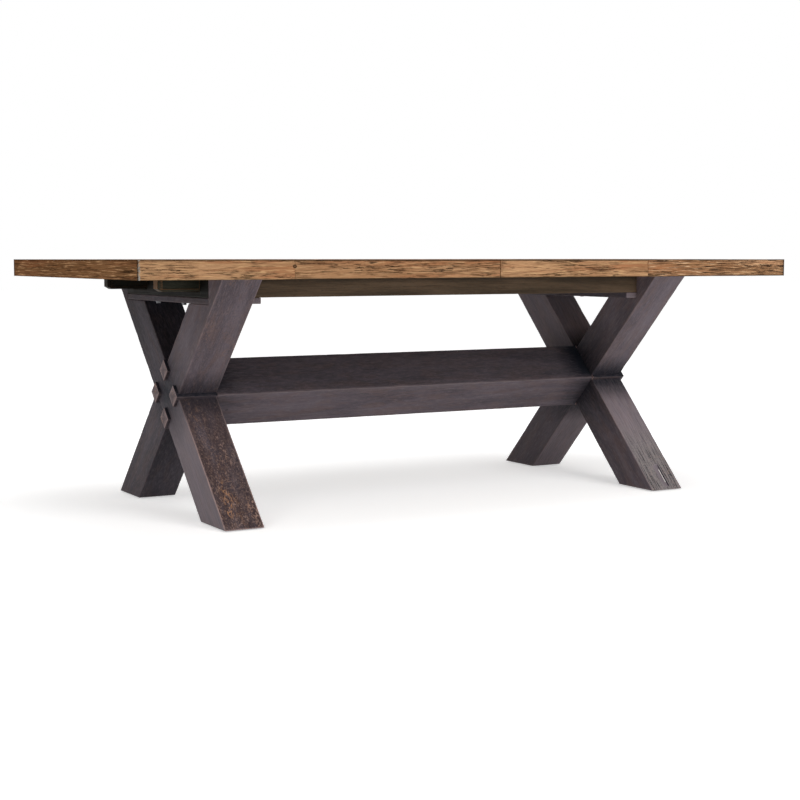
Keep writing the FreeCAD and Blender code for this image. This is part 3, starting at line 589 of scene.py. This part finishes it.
def sliced(bm, direction, places):
    # a loop of edges where each plane across the direction meets the piece
    for place in places:
        bmesh.ops.bisect_plane(bm, geom=whole(bm), dist=1e-6, plane_co=direction * place, plane_no=direction)


def cutAway(bm, place, facing):
    # takes off what lies past a plane, and closes the cut
    bmesh.ops.bisect_plane(bm, geom=whole(bm), dist=1e-6, plane_co=place, plane_no=facing, clear_outer=True)
    bmesh.ops.holes_fill(bm, edges=[edge for edge in bm.edges if edge.is_boundary])


def addShape(bm, shape):
    # a second closed body in the same piece
    mesh = bpy.data.meshes.new("addedShape")
    shape.to_mesh(mesh)
    shape.free()
    bm.from_mesh(mesh)
    bpy.data.meshes.remove(mesh)


def vertsOf(grown):
    return [item for item in grown["geom"] if isinstance(item, bmesh.types.BMVert)]


def extent(bm, direction):
    reach = [vert.co.dot(direction) for vert in bm.verts]
    return min(reach), max(reach)


def spread(low, high, step):
    count = max(1, round((high - low) / step))
    return [low + (high - low) * index / count for index in range(1, count)]


def distances(points, segments):
    # from each point to the nearest of the segments
    start = segments[:, 0]
    run = segments[:, 1] - start
    offset = points[:, None] - start
    share = np.clip((offset * run).sum(-1) / (run * run).sum(-1), 0, 1)
    return np.linalg.norm(offset - share[..., None] * run, axis=-1).min(1)


wearHabits = {
    "ease": 1.5 * mm,       # how far an arris is rounded over
    "rim": 5 * mm,          # how far from an arris its wear reaches
    "slice": 9 * mm,        # spacing of the loops along the grain
    "step": 24 * mm,        # spacing of the loops across the grain
    "dent": 0.9 * mm,       # deepest nick in an arris
    "wave": 0.18 * mm,      # how far a planed face wanders
    "nicks": 38,            # how many nicks to a metre
    "waves": 11,            # and how many waves
    "nickFrom": 0.12,       # how much of the noise leaves the arris whole
    "crease": 32,           # degrees from which an edge shows sharp
}
finished = []
alongGrain = (along, across, upward)
crossGrain = (across, along, upward)


def opened(vert, split):  # how far the split is open at a vertex: 1 at its middle, 0 past its ends
    middle, half = (split["low"] + split["high"]) / 2, (split["high"] - split["low"]) / 2
    inside = abs(vert.co.x - split["place"]) < split["reach"] * split["width"] and vert.normal.y < -0.5
    return math.sqrt(max(0.0, 1 - ((vert.co.z - middle) / half) ** 2)) if inside else 0.0


def workUp(bm, node, grain, habits=None, material=None, marks=None, eased=None, split=None):
    # eases the arrises of a squared piece, wears it, and gives it its grain and its place on the table
    habit = {**wearHabits, **(habits or {})}
    turn = len(finished) * 3.7  # so that no two pieces have the same grain
    seed = Vector([noise.noise(Vector((turn + shift, 1.3, 7.1))) * 9 for shift in (0, 11, 23)])
    chosen = eased if eased is not None else sharpEdges(bm)
    segments = np.array([[vert.co[:] for vert in edge.verts] for edge in chosen])
    bmesh.ops.bevel(bm, geom=chosen, offset=habit["ease"], offset_type="OFFSET", affect="EDGES", segments=3,
                    profile=0.5, material=-1, clamp_overlap=True)
    lengthwise, crosswise, deep = grain
    for direction in (crosswise, deep):
        low, high = extent(bm, direction)
        inner, outer = low + habit["rim"], high - habit["rim"]
        places = [inner, outer] + spread(inner, outer, habit["step"]) if outer - inner > 4 * mm else []
        sliced(bm, direction, places)
    low, high = extent(bm, lengthwise)
    sliced(bm, lengthwise, [low + habit["rim"], *spread(low, high, habit["slice"]), high - habit["rim"]])
    if split:
        sliced(bm, along, [split["place"] + split["width"] * share for share in split["slices"]])
    bm.normal_update()
    bm.verts.ensure_lookup_table()
    # per-vertex marks: nearness to an arris, flecks that also carry painted highlights, painted shade
    # together with grime, and rubbed wear together with painted light
    rimLayer = bm.verts.layers.float.new("arris")
    fleckHighlightLayer = bm.verts.layers.float.new("flecks")
    shadeGrimeLayer = bm.verts.layers.float.new("grime")
    rubbedLitLayer = bm.verts.layers.float.new("rubbedAndLit")
    gaps = distances(np.array([vert.co[:] for vert in bm.verts]), segments)
    for vert, gap in zip(bm.verts, gaps):
        nearness = max(0.0, 1 - gap / habit["rim"])
        shown = marks(vert, nearness) if marks else (0.0, 0.0, 0.0)
        vert[rimLayer] = nearness
        vert[fleckHighlightLayer], vert[shadeGrimeLayer], vert[rubbedLitLayer] = shown
        uneven = noise.noise(vert.co * habit["nicks"] + seed) - habit["nickFrom"]
        nick = max(0.0, uneven) * habit["dent"] * 2 * nearness
        wave = noise.noise(vert.co * habit["waves"] + seed) * habit["wave"]
        sunk = 0.0
        if split and opened(vert, split):
            share = (vert.co.x - split["place"]) / split["width"]
            start, end = split["paleShare"]
            raw = start < share < end and split["paleLow"] < vert.co.z < split["paleHigh"]
            sunk = split["depth"] * opened(vert, split) if share > start else 0.0
            # painted shade on one side of the split; its pale core is raw wood
            dirt = min(1.0, split["dirt"] * opened(vert, split))
            vert[rubbedLitLayer] = split["bare"] if raw else split["rubbedAndLit"]
            vert[shadeGrimeLayer] = dirt if share > end else 0.0
        vert.co -= vert.normal * (nick + wave + habit["wave"] + sunk)
    for edge in bm.edges:
        edge.smooth = not edge.is_manifold or edge.calc_face_angle() < math.radians(habit["crease"])
    for face in bm.faces:
        face.smooth = True
    mesh = bpy.data.meshes.new(camelName(node))
    bm.to_mesh(mesh)
    bm.free()
    toGrain = Matrix(grain)
    places = [toGrain @ vert.co + seed for vert in mesh.vertices]
    mesh.attributes.new("grain", "FLOAT_VECTOR", "POINT").data.foreach_set("vector", np.ravel(places))
    piece = bpy.data.objects.new(camelName(node), mesh)
    scene.collection.objects.link(piece)
    mesh.materials.append(material or finishOf[slotOf[node]])
    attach(piece, cadNodes[node]["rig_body"])
    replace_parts(piece, node)
    finished.append(piece)
    return piece


def squared(node):
    # a block as long, wide and deep as the CAD piece
    low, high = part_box(node)
    bm = bmesh.new()
    bmesh.ops.create_cube(bm, size=1)
    bmesh.ops.scale(bm, verts=bm.verts, vec=high - low)
    bmesh.ops.translate(bm, verts=bm.verts, vec=(low + high) / 2)
    return bm


def prism(points, low, high):
    # an outline of Y and Z places, extruded from one X place to another
    bm = bmesh.new()
    corners = [bm.verts.new((low, y, z)) for y, z in points]
    outline = [bm.edges.new(pair) for pair in zip(corners, corners[1:] + corners[:1])]
    bmesh.ops.contextual_create(bm, geom=outline)
    grown = bmesh.ops.extrude_face_region(bm, geom=bm.faces[:], use_keep_orig=True)
    bmesh.ops.translate(bm, verts=vertsOf(grown), vec=(high - low, 0, 0))
    bmesh.ops.recalc_face_normals(bm, faces=bm.faces)
    return bm


# Trestles: two halved legs, square pegs in the angles, and a plate on the heads

trestle = {
    "lapGap": 0.3 * mm, "legEase": 2.2 * mm, "plateEase": 2 * mm,
    "crossingHeight": (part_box("left_front_leg")[0].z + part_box("left_front_leg")[1].z) / 2,
}
pegs = {
    "inset": 1.0 * mm, "ease": 2.5 * mm, "out": 2.5 * mm, "dent": 1.4 * mm, "slice": 7 * mm,
    "sideways": 60 * mm, "upright": 40 * mm,  # the corners of the back peg lie within these
}
crossingShade = {  # painted shade round the crossing: how dark it is in the corners, how far it goes, and how far it goes on the faces
    "thickLeft": 0.72, "thickRight": 0.88, "full": 112 * mm, "fade": 75 * mm,
    "faceLeft": 220 * mm, "faceRight": 240 * mm, "faceFront": 1.18,
}
footLow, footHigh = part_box("right_front_leg")
splits = {  # a drying split opens one foot: its X place, its heights and how wide and deep it is
    "right_front_leg": {
        "place": footLow.x + 0.60 * (footHigh - footLow).x, "width": 9 * mm, "depth": 3 * mm,
        "low": 10 * mm, "high": 78 * mm, "paleLow": 26 * mm, "paleHigh": 66 * mm, "paleShare": (-0.4, 0.14),
        "slices": (-0.5, -0.38, 0.10, 0.18, 0.53, 0.74), "reach": 0.55,
        "bare": 3.6, "rubbedAndLit": 0.5, "dirt": 1.4,
    },
}


def footSpan(node):
    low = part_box(node)[0].z
    reach = [vert.co.y for vert in cadNodes[node].data.vertices if vert.co.z < low + mm]
    return min(reach), max(reach)


def makeLeg(node, lap):
    # lap is the side along X, minus or plus, where the other leg passes
    low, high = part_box(node)
    near, far = footSpan(node)
    foot = 1 if near + far > 0 else -1
    half = (far - near) / 2
    centre = (near + far) / 2 * foot
    plateLow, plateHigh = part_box("left_cross_plate")
    slope = centre / ((high.z - low.z) / 2)

    def flank(side, z):  # Y of a flank at a height; side is 1 for the flank that faces up
        middle = centre - slope * (z - low.z)
        return foot * (middle + side * half)

    outline = [
        (flank(-1, low.z), low.z), (flank(1, low.z), low.z),
        (flank(1, plateLow.z), plateLow.z), (-foot * plateHigh.y, plateLow.z),
        (-foot * plateHigh.y, high.z), (flank(-1, high.z), high.z),
    ]
    middle = (low.x + high.x) / 2
    reach = (high.x - low.x) / 2
    bm = prism(outline, middle, middle - lap * reach)
    # the other leg passes through the half that is still missing
    otherWay = Vector((0, foot * slope, 1)).normalized()
    otherFlank = Vector((0, otherWay.z, -otherWay.y))
    crossing = Vector((middle, 0, trestle["crossingHeight"]))
    width = half * otherWay.z + trestle["lapGap"]
    meeting = [face for face in bm.faces if all(abs(vert.co.x - middle) < 1e-6 for vert in face.verts)]
    for side in (-1, 1):
        area = {item for face in meeting for item in (face, *face.edges, *face.verts)}
        bmesh.ops.bisect_plane(bm, geom=list(area), dist=1e-6, plane_no=otherFlank,
                               plane_co=crossing + otherFlank * width * side)
        meeting = [face for face in bm.faces if all(abs(vert.co.x - middle) < 1e-6 for vert in face.verts)]
    lapped = [face for face in meeting
              if abs((face.calc_center_median() - crossing).dot(otherFlank)) > width]
    grown = bmesh.ops.extrude_face_region(bm, geom=lapped)
    bmesh.ops.translate(bm, verts=vertsOf(grown), vec=(lap * reach, 0, 0))
    bmesh.ops.delete(bm, geom=[face for face in lapped if face.is_valid], context="FACES_ONLY")
    bmesh.ops.recalc_face_normals(bm, faces=bm.faces)
    bmesh.ops.dissolve_limit(bm, angle_limit=math.radians(1), verts=bm.verts, edges=bm.edges)
    eased = [edge for edge in sharpEdges(bm, 20 * mm)
             if all(abs(vert.co.x - middle) > mm for vert in edge.verts)
             and not all(abs((vert.co - crossing).dot(otherFlank)) < width + mm for vert in edge.verts)]
    legWay = Vector((0, -foot * slope, 1)).normalized()
    facing = Vector((0, legWay.z, -legWay.y))
    left = low.x < 0
    thickness = crossingShade["thickLeft" if left else "thickRight"]
    faceReach = crossingShade["faceLeft" if left else "faceRight"]

    def marks(vert, nearness):
        # flecks, and rubbed places that are partly painted light, sit where the photo shows them; painted
        # shade gathers at the crossing and on the parts under the top
        lower = 1 - vert.co.z / trestle["crossingHeight"]
        flank = 1 - abs(vert.normal.x)
        upTurned = max(0.0, vert.normal.z) * 1.4
        away = (vert.co - crossing).yz.length
        past = max(0.0, away - crossingShade["full"])
        # painted shade, thickest round the crossing on the flanks and spreading over the faces
        grime = thickness * flank * max(0.0, 1 - past / crossingShade["fade"])
        heaviest = 1 if left or vert.co.y > 0 else crossingShade["faceFront"]
        grime += (1 - flank) * max(0.0, heaviest - away / faceReach)
        # rubbed wear with painted light; the heads in front get less
        flecks, rubbedAndLit = 0.0, 0.8 if foot < 0 or lower > 0 else 0.25
        if left and foot < 0 and lower > 0:  # the near foot
            # crackle flecks on the up-turned flank; its end faces painted lighter low down, with less
            # painted shade there
            flecks = upTurned * min(1.0, 0.5 + lower)
            rubbedAndLit = max((1 - flank) * (0.85 + 0.3 * lower), nearness)
            grime = max(grime, 0.25 * upTurned * (1 - lower)) - 0.3 * (1 - flank) * lower
        elif left and foot < 0:  # its head, behind
            # painted shade: this head lies under the top
            grime, rubbedAndLit = max(grime, 0.6 + 0.22 * flank), 0.0
        elif left and lower > 0:  # the back foot
            # painted shade, darker up towards the crossing
            grime, rubbedAndLit = max(grime, 0.40 + flank * (0.15 + 0.3 * (1 - lower))), 0.1
        elif left:  # its head, in front
            flecks, rubbedAndLit = 0.18 * flank, 0.15
        elif foot < 0 and lower > 0:  # the far trestle's front foot
            rubbedAndLit = flank * (0.8 + lower)
        elif lower > 0:  # and its back foot
            # more painted shade on its end faces, and lighter flanks
            grime, rubbedAndLit = grime + 0.28 * (1 - flank) * (1 - 0.5 * nearness), 0.4 + 0.7 * flank
        return flecks, min(1.0, max(0.0, grime)), rubbedAndLit

    workUp(bm, node, (legWay, facing, along), {"ease": trestle["legEase"]}, marks=marks, eased=eased,
           split=splits.get(node))


def pegMarks(vert, nearness):
    # the end that shows is rubbed; the sides carry painted shade, heavier above, and the lower sides a tan
    # painted highlight too
    if abs(vert.normal.x) > 0.5:
        return 0.6, 0.25 * max(0.0, 1 - 3 * nearness), 1.1
    return (0.25, 0.6, 0.0) if vert.normal.z < -0.3 else (0.0, 0.93, 0.0)


def makePegs(node):
    low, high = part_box(node)
    side = 1 if low.x > 0 else -1
    legLow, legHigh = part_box(node.replace("crossing_pegs", "front_leg"))
    inner = (legLow.x if side > 0 else legHigh.x) + side * pegs["inset"]
    outer = high.x if side > 0 else low.x
    height = trestle["crossingHeight"]
    # a peg's half diagonal, from how far it stands clear of the leg's face at the side
    ends = [vert.co for vert in cadNodes[node].data.vertices if abs(vert.co.x - inner) < 2 * mm]
    backPeg = [place for place in ends
               if place.y > high.y - pegs["sideways"] and abs(place.z - height) < pegs["upright"]]
    half = max(abs(place.z - height) for place in backPeg)
    reach = pegs["out"] - half
    upper, lower = high.z - height - half, low.z - height + half
    bm = bmesh.new()
    for sideways, rise in ((high.y + reach, 0), (low.y - reach, 0), (0, upper), (0, lower)):
        middle = height + rise
        corners = [(sideways - half, middle), (sideways, middle - half),
                   (sideways + half, middle), (sideways, middle + half)]
        addShape(bm, prism(corners, inner, outer))
    workUp(bm, node, alongGrain, {name: pegs[name] for name in ("ease", "dent", "slice")}, marks=pegMarks)


def plateMarks(vert, nearness):
    # front faces painted lighter as lit, the other faces in painted shade
    return (0.0, 0.0, 1.0) if abs(vert.normal.y) > 0.6 else (0.0, 0.5, 0.1)


def makeCrossPlate(node):
    workUp(squared(node), node, crossGrain, {"ease": trestle["plateEase"]}, marks=plateMarks)


for hand in ("left", "right"):
    makeLeg(f"{hand}_front_leg", 1)
    makeLeg(f"{hand}_back_leg", -1)
    makePegs(f"{hand}_crossing_pegs")
    makeCrossPlate(f"{hand}_cross_plate")
print("trestles ready")


# Stretcher: four mitred boards, its square section standing on an edge

# reaches and strengths of the painted shade on the stretcher
stretcher = {
    "ease": 1.6 * mm, "ridge": 6 * mm, "shadeReach": 110 * mm, "dirtLeft": 0.4, "dirtRight": 0.75,
    "dustUpper": 0.5, "dustLower": 0.04,
}


def makeStretcherBoard(node):
    low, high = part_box(node)
    height = trestle["crossingHeight"]
    front = 1 if high.y > mm else -1
    rise = 1 if high.z > height + mm else -1
    outer = high.y - low.y
    level = [vert.co for vert in cadNodes[node].data.vertices if abs(vert.co.z - height) < 0.1 * mm]
    inner = min(abs(place.y) for place in level)
    points = [(0, height + rise * outer), (front * outer, height),
              (front * inner, height), (0, height + rise * inner)]
    bm = prism(points, low.x, high.x)
    facet = Vector((0, front, -rise)).normalized()
    outward = Vector((0, front, rise)).normalized()
    paintedShade = stretcher["dustUpper" if rise > 0 else "dustLower"]

    def marks(vert, nearness):
        # painted shade where it meets the trestles and over the upper boards under the top, rubbed along the
        # ridge
        gap = min(vert.co.x - low.x, high.x - vert.co.x)
        ridge = max(0.0, 1 - (outer - abs(vert.co.y)) / stretcher["ridge"])
        thick = stretcher["dirtRight" if vert.co.x > 0 else "dirtLeft"]
        grime = max(0.0, 1 - gap / stretcher["shadeReach"]) * thick + paintedShade
        return 0.0, grime * (1 - 0.8 * ridge), max(0.3 if rise > 0 else 0.15, 0.8 * ridge)

    workUp(bm, node, (along, facet, outward), {"ease": stretcher["ease"]}, marks=marks)


for rise in ("upper", "lower"):
    for where in ("front", "back"):
        makeStretcherBoard(f"stretcher_{rise}_{where}_board")
print("stretcher ready")


# Frame and slides

slides = {
    "clearance": 1.5 * mm, "ease": 0.8 * mm, "rim": 3 * mm, "slice": 20 * mm, "frameEase": 1.2 * mm,
    "sunk": 8 * mm, "endBlock": 8 * mm, "cutLong": 14 * mm, "cutDeep": 8 * mm,
    "shadeDepth": 20 * mm, "shadeSteps": (0, 5 * mm, 11 * mm, 20 * mm),
}


def makeEndRail(node):
    # the end of the frame, notched for the slides, in the finish that paints it in shade
    low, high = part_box(node)
    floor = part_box("front_slide_rail")[0].z
    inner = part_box("back_left_runner")[0].y - slides["clearance"]
    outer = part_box("back_right_runner")[1].y + slides["clearance"]
    points = [(low.y, high.z), (low.y, low.z), (high.y, low.z), (high.y, high.z)]
    for near, far in ((outer, inner), (-inner, -outer)):
        points += [(near, high.z), (near, floor), (far, floor), (far, high.z)]
    workUp(prism(points, low.x, high.x), node, crossGrain, {"ease": slides["frameEase"]}, shadedRailWood)


def makeSlidePiece(node):
    # a merged copy of the CAD piece, because its groove, tongue and bores are its shape
    low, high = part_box(node)
    bm = bmesh.new()
    bm.from_mesh(cadNodes[node].data)
    bmesh.ops.remove_doubles(bm, verts=bm.verts, dist=0.01 * mm)
    bmesh.ops.dissolve_limit(bm, angle_limit=math.radians(1), verts=bm.verts, edges=bm.edges)
    if "runner" in node:
        # the outer end is a plain block past the groove, with its lower corner cut
        side = 1 if "right" in node else -1
        start = (high if side > 0 else low).x - side * slides["sunk"]
        end = start + side * (slides["sunk"] + slides["endBlock"])
        points = [(low.y, low.z), (high.y, low.z), (high.y, high.z), (low.y, high.z)]
        block = prism(points, start, end)
        slant = (side * slides["cutDeep"], 0, -slides["cutLong"])
        for shape in (bm, block):
            cutAway(shape, (end, 0, low.z + slides["cutDeep"]), slant)
        addShape(bm, block)

    def marks(vert, nearness):
        # front ends show bare end grain; the back pieces take painted shade under the top
        atEnd = abs(vert.normal.x) > 0.9 and (vert.co.x < low.x + mm or vert.co.x > high.x - mm)
        return (0.6 if atEnd and "front" in node else 0.0), (0.85 if "back" in node else 0.0), 0.0

    habits = {name: slides[name] for name in ("ease", "rim", "slice")}
    workUp(bm, node, alongGrain, habits, marks=marks, eased=sharpEdges(bm, 25 * mm))


def makeApron(node):
    # darker where the top's edge boards shade it
    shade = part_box("left_end_board")[0].z
    bm = squared(node)
    sliced(bm, upward, [shade - step for step in slides["shadeSteps"]])

    def marks(vert, nearness):
        depth = (shade - vert.co.z) / slides["shadeDepth"]
        return 0.0, 0.8 * min(1.0, max(0.0, 1 - depth)), 0.0

    workUp(bm, node, alongGrain, {"ease": slides["frameEase"]}, marks=marks)


for hand in ("left", "right"):
    makeEndRail(f"{hand}_end_rail")
    for where in ("front", "back"):
        makeSlidePiece(f"{where}_{hand}_runner")
for where in ("front", "back"):
    makeApron(f"{where}_apron")
    makeSlidePiece(f"{where}_slide_rail")
print("frame and slides ready")


# Top: planks in a frame of deeper edge boards, mitred at the corners

top = {
    "ease": 2.5 * mm, "rim": 5.4 * mm, "cornerRound": 4.5 * mm, "cornerShade": 8 * mm,
    "plankEase": 1.8 * mm, "plankSlice": 14 * mm, "shadeUnderFrom": 0.56 * cadBox[1].x,
    "plankCount": 5, "plankStep": 1.2 * mm, "drop": 2.6 * mm,
    "reach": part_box("left_end_board")[1].y, "rimHeight": 6 * mm,
    "deep": ("left_front_edge_inner", "left_plank_2", "left_plank_4", "right_plank_1", "right_plank_3",
             "right_plank_5", "right_back_edge"),
}
top["low"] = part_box("left_end_board")[0].z - top["drop"]
edgeHabits = {"ease": top["ease"], "rim": top["rim"]}


def deepened(bm):
    # the edge boards hang a little lower, as deep as the photo shows them
    lower = [vert for vert in bm.verts if vert.co.z < cadBox[1].z - mm]
    bmesh.ops.translate(bm, verts=lower, vec=(0, 0, -top["drop"]))


def cornerCuts(bm, side, front):
    # three planes that round over the upright corner of the top
    outer = Vector((cadBox[1].x * side, top["reach"] * front, 0))
    for turn in (22.5, 45, 67.5):
        way = Vector((side * math.cos(math.radians(turn)), front * math.sin(math.radians(turn)), 0))
        centre = outer - Vector((side, front, 0)) * top["cornerRound"]
        cutAway(bm, centre + way * top["cornerRound"], way)


def mitred(bm, x, y, away):
    # slides the inner corner of one end along the board, to leave a mitre
    corner = [vert for vert in bm.verts if abs(vert.co.x - x) < mm and abs(vert.co.y - y) < mm]
    bmesh.ops.translate(bm, verts=corner, vec=away)


def edgeMarks(vert, nearness):
    # darker along the top arris, painted shade under the lower arris with a painted highlight along it, and
    # upright corners edged in painted shade, the near one pale in front, partly worn and partly a painted
    # highlight
    sideways = math.hypot(vert.normal.x, vert.normal.y)
    below = max(0.0, cadBox[1].z - vert.co.z - top["ease"])
    grime = max(0.0, 1 - below / (top["rim"] - top["ease"])) * min(1.0, 1.8 * sideways)
    rubbedAndLit = max(0.0, 1 - (vert.co.z - top["low"]) / top["rimHeight"])
    # painted shade under the lower arris: heavy where it faces down and along the far right, light elsewhere
    if vert.co.z < top["low"] + 1.05 * top["ease"] and nearness > 0.3:
        grime = 0.95 if vert.normal.z < -0.3 or vert.co.x > top["shadeUnderFrom"] else 0.3
    toCorner = Vector((cadBox[1].x - abs(vert.co.x), top["reach"] - abs(vert.co.y))).length
    pale = 0.0
    # the near upright corner: pale where it turns, painted shade on its end side
    if sideways > 0.5 and vert.co.x < 0 and vert.co.y < 0:
        if toCorner < 2 * top["cornerRound"]:
            pale = 1.0 if 0.3 < abs(vert.normal.y) < 0.995 * sideways else 0.0
            grime = 1.0 if abs(vert.normal.y) < 0.3 else grime
    # the other upright corners darken towards the corner in painted shade
    elif sideways > 0.5:
        grime = max(grime, min(1.0, 1.6 - toCorner / top["cornerShade"]))
    return pale, grime, rubbedAndLit


def makeEndBoard(node):
    low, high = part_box(node)
    side = 1 if high.x > 0 else -1
    width = high.x - low.x
    innerX = low.x if side > 0 else high.x
    bm = squared(node)
    deepened(bm)
    for front in (-1, 1):
        edgeY = high.y if front > 0 else low.y
        mitred(bm, innerX, edgeY, (0, -front * width, 0))
        cornerCuts(bm, side, front)
    workUp(bm, node, crossGrain, edgeHabits, endWood, marks=edgeMarks)


def makeEdgeBoard(node):
    low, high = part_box(node)
    side = 1 if low.x + high.x > 0 else -1
    front = 1 if high.y > 0 else -1
    width = high.y - low.y
    bm = squared(node)
    deepened(bm)
    outerX = high.x if side > 0 else low.x
    if abs(outerX - side * cadBox[1].x) < mm:
        innerY = low.y if front > 0 else high.y
        mitred(bm, outerX, innerY, (-side * width, 0, 0))
        cornerCuts(bm, side, front)
    workUp(bm, node, alongGrain, edgeHabits, boardWood(node), marks=edgeMarks)


def boardWood(node):
    if node == "right_front_edge_outer":
        return boldWood
    return deepWood if node in top["deep"] else topWood


def plankMarks(vert, nearness):  # dark glaze in the grooves between the planks
    return 0.0, 0.8 * nearness, 0.0


def makePlank(node):
    bm = squared(node)
    upper = [vert for vert in bm.verts if vert.co.z > cadBox[1].z - mm]
    bmesh.ops.translate(bm, verts=upper, vec=(0, 0, -top["plankStep"]))
    habits = {"ease": top["plankEase"], "slice": top["plankSlice"]}
    workUp(bm, node, alongGrain, habits, boardWood(node), plankMarks)


for hand in ("left", "right"):
    for index in range(top["plankCount"]):
        makePlank(f"{hand}_plank_{index + 1}")
    makeEdgeBoard(f"{hand}_front_edge_inner")
    makeEdgeBoard(f"{hand}_front_edge_outer")
    makeEdgeBoard(f"{hand}_back_edge")
    makeEndBoard(f"{hand}_end_board")
    batten = f"{hand}_seam_batten"
    workUp(squared(batten), batten, crossGrain)
print("top ready")


# What stays as the CAD made it gets a finish on its own coordinates

steelLook = {"dull": paint(150, 150, 152), "bright": paint(200, 201, 204)}
fastenerLook = {"dull": paint(96, 95, 97), "bright": paint(140, 140, 143)}
plugLook = {**frameLook, "dark": paint(84, 75, 80), "light": paint(98, 88, 94)}
nylonLook = {"dark": paint(38, 38, 40), "scuffed": paint(78, 78, 80)}
keptFinish = {
    "gear_steel": platedSteel("zincGears", steelLook),
    "fastener_steel": platedSteel("dullFasteners", fastenerLook),
    "glide_nylon": mouldedNylon("blackNylon", nylonLook),
    "pin_wood": stainedWood("turnedPins", battenLook, "object"),
    "batten_wood": stainedWood("bareCleats", battenLook, "object", (0, 0, 90)),
    "base_wood": stainedWood("plainBlocks", battenLook, "object"),
}
plugs = stainedWood("stainedPlugs", plugLook, "object")
replacedNodes = {node for piece in finished for node in piece["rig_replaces"]}
for node, shown in cadNodes.items():
    if node not in replacedNodes:
        shown.data.materials.clear()
        shown.data.materials.append(plugs if node == "frame_screws" else keptFinish[slotOf[node]])
print("kept pieces finished:", len(cadNodes) - len(replacedNodes))
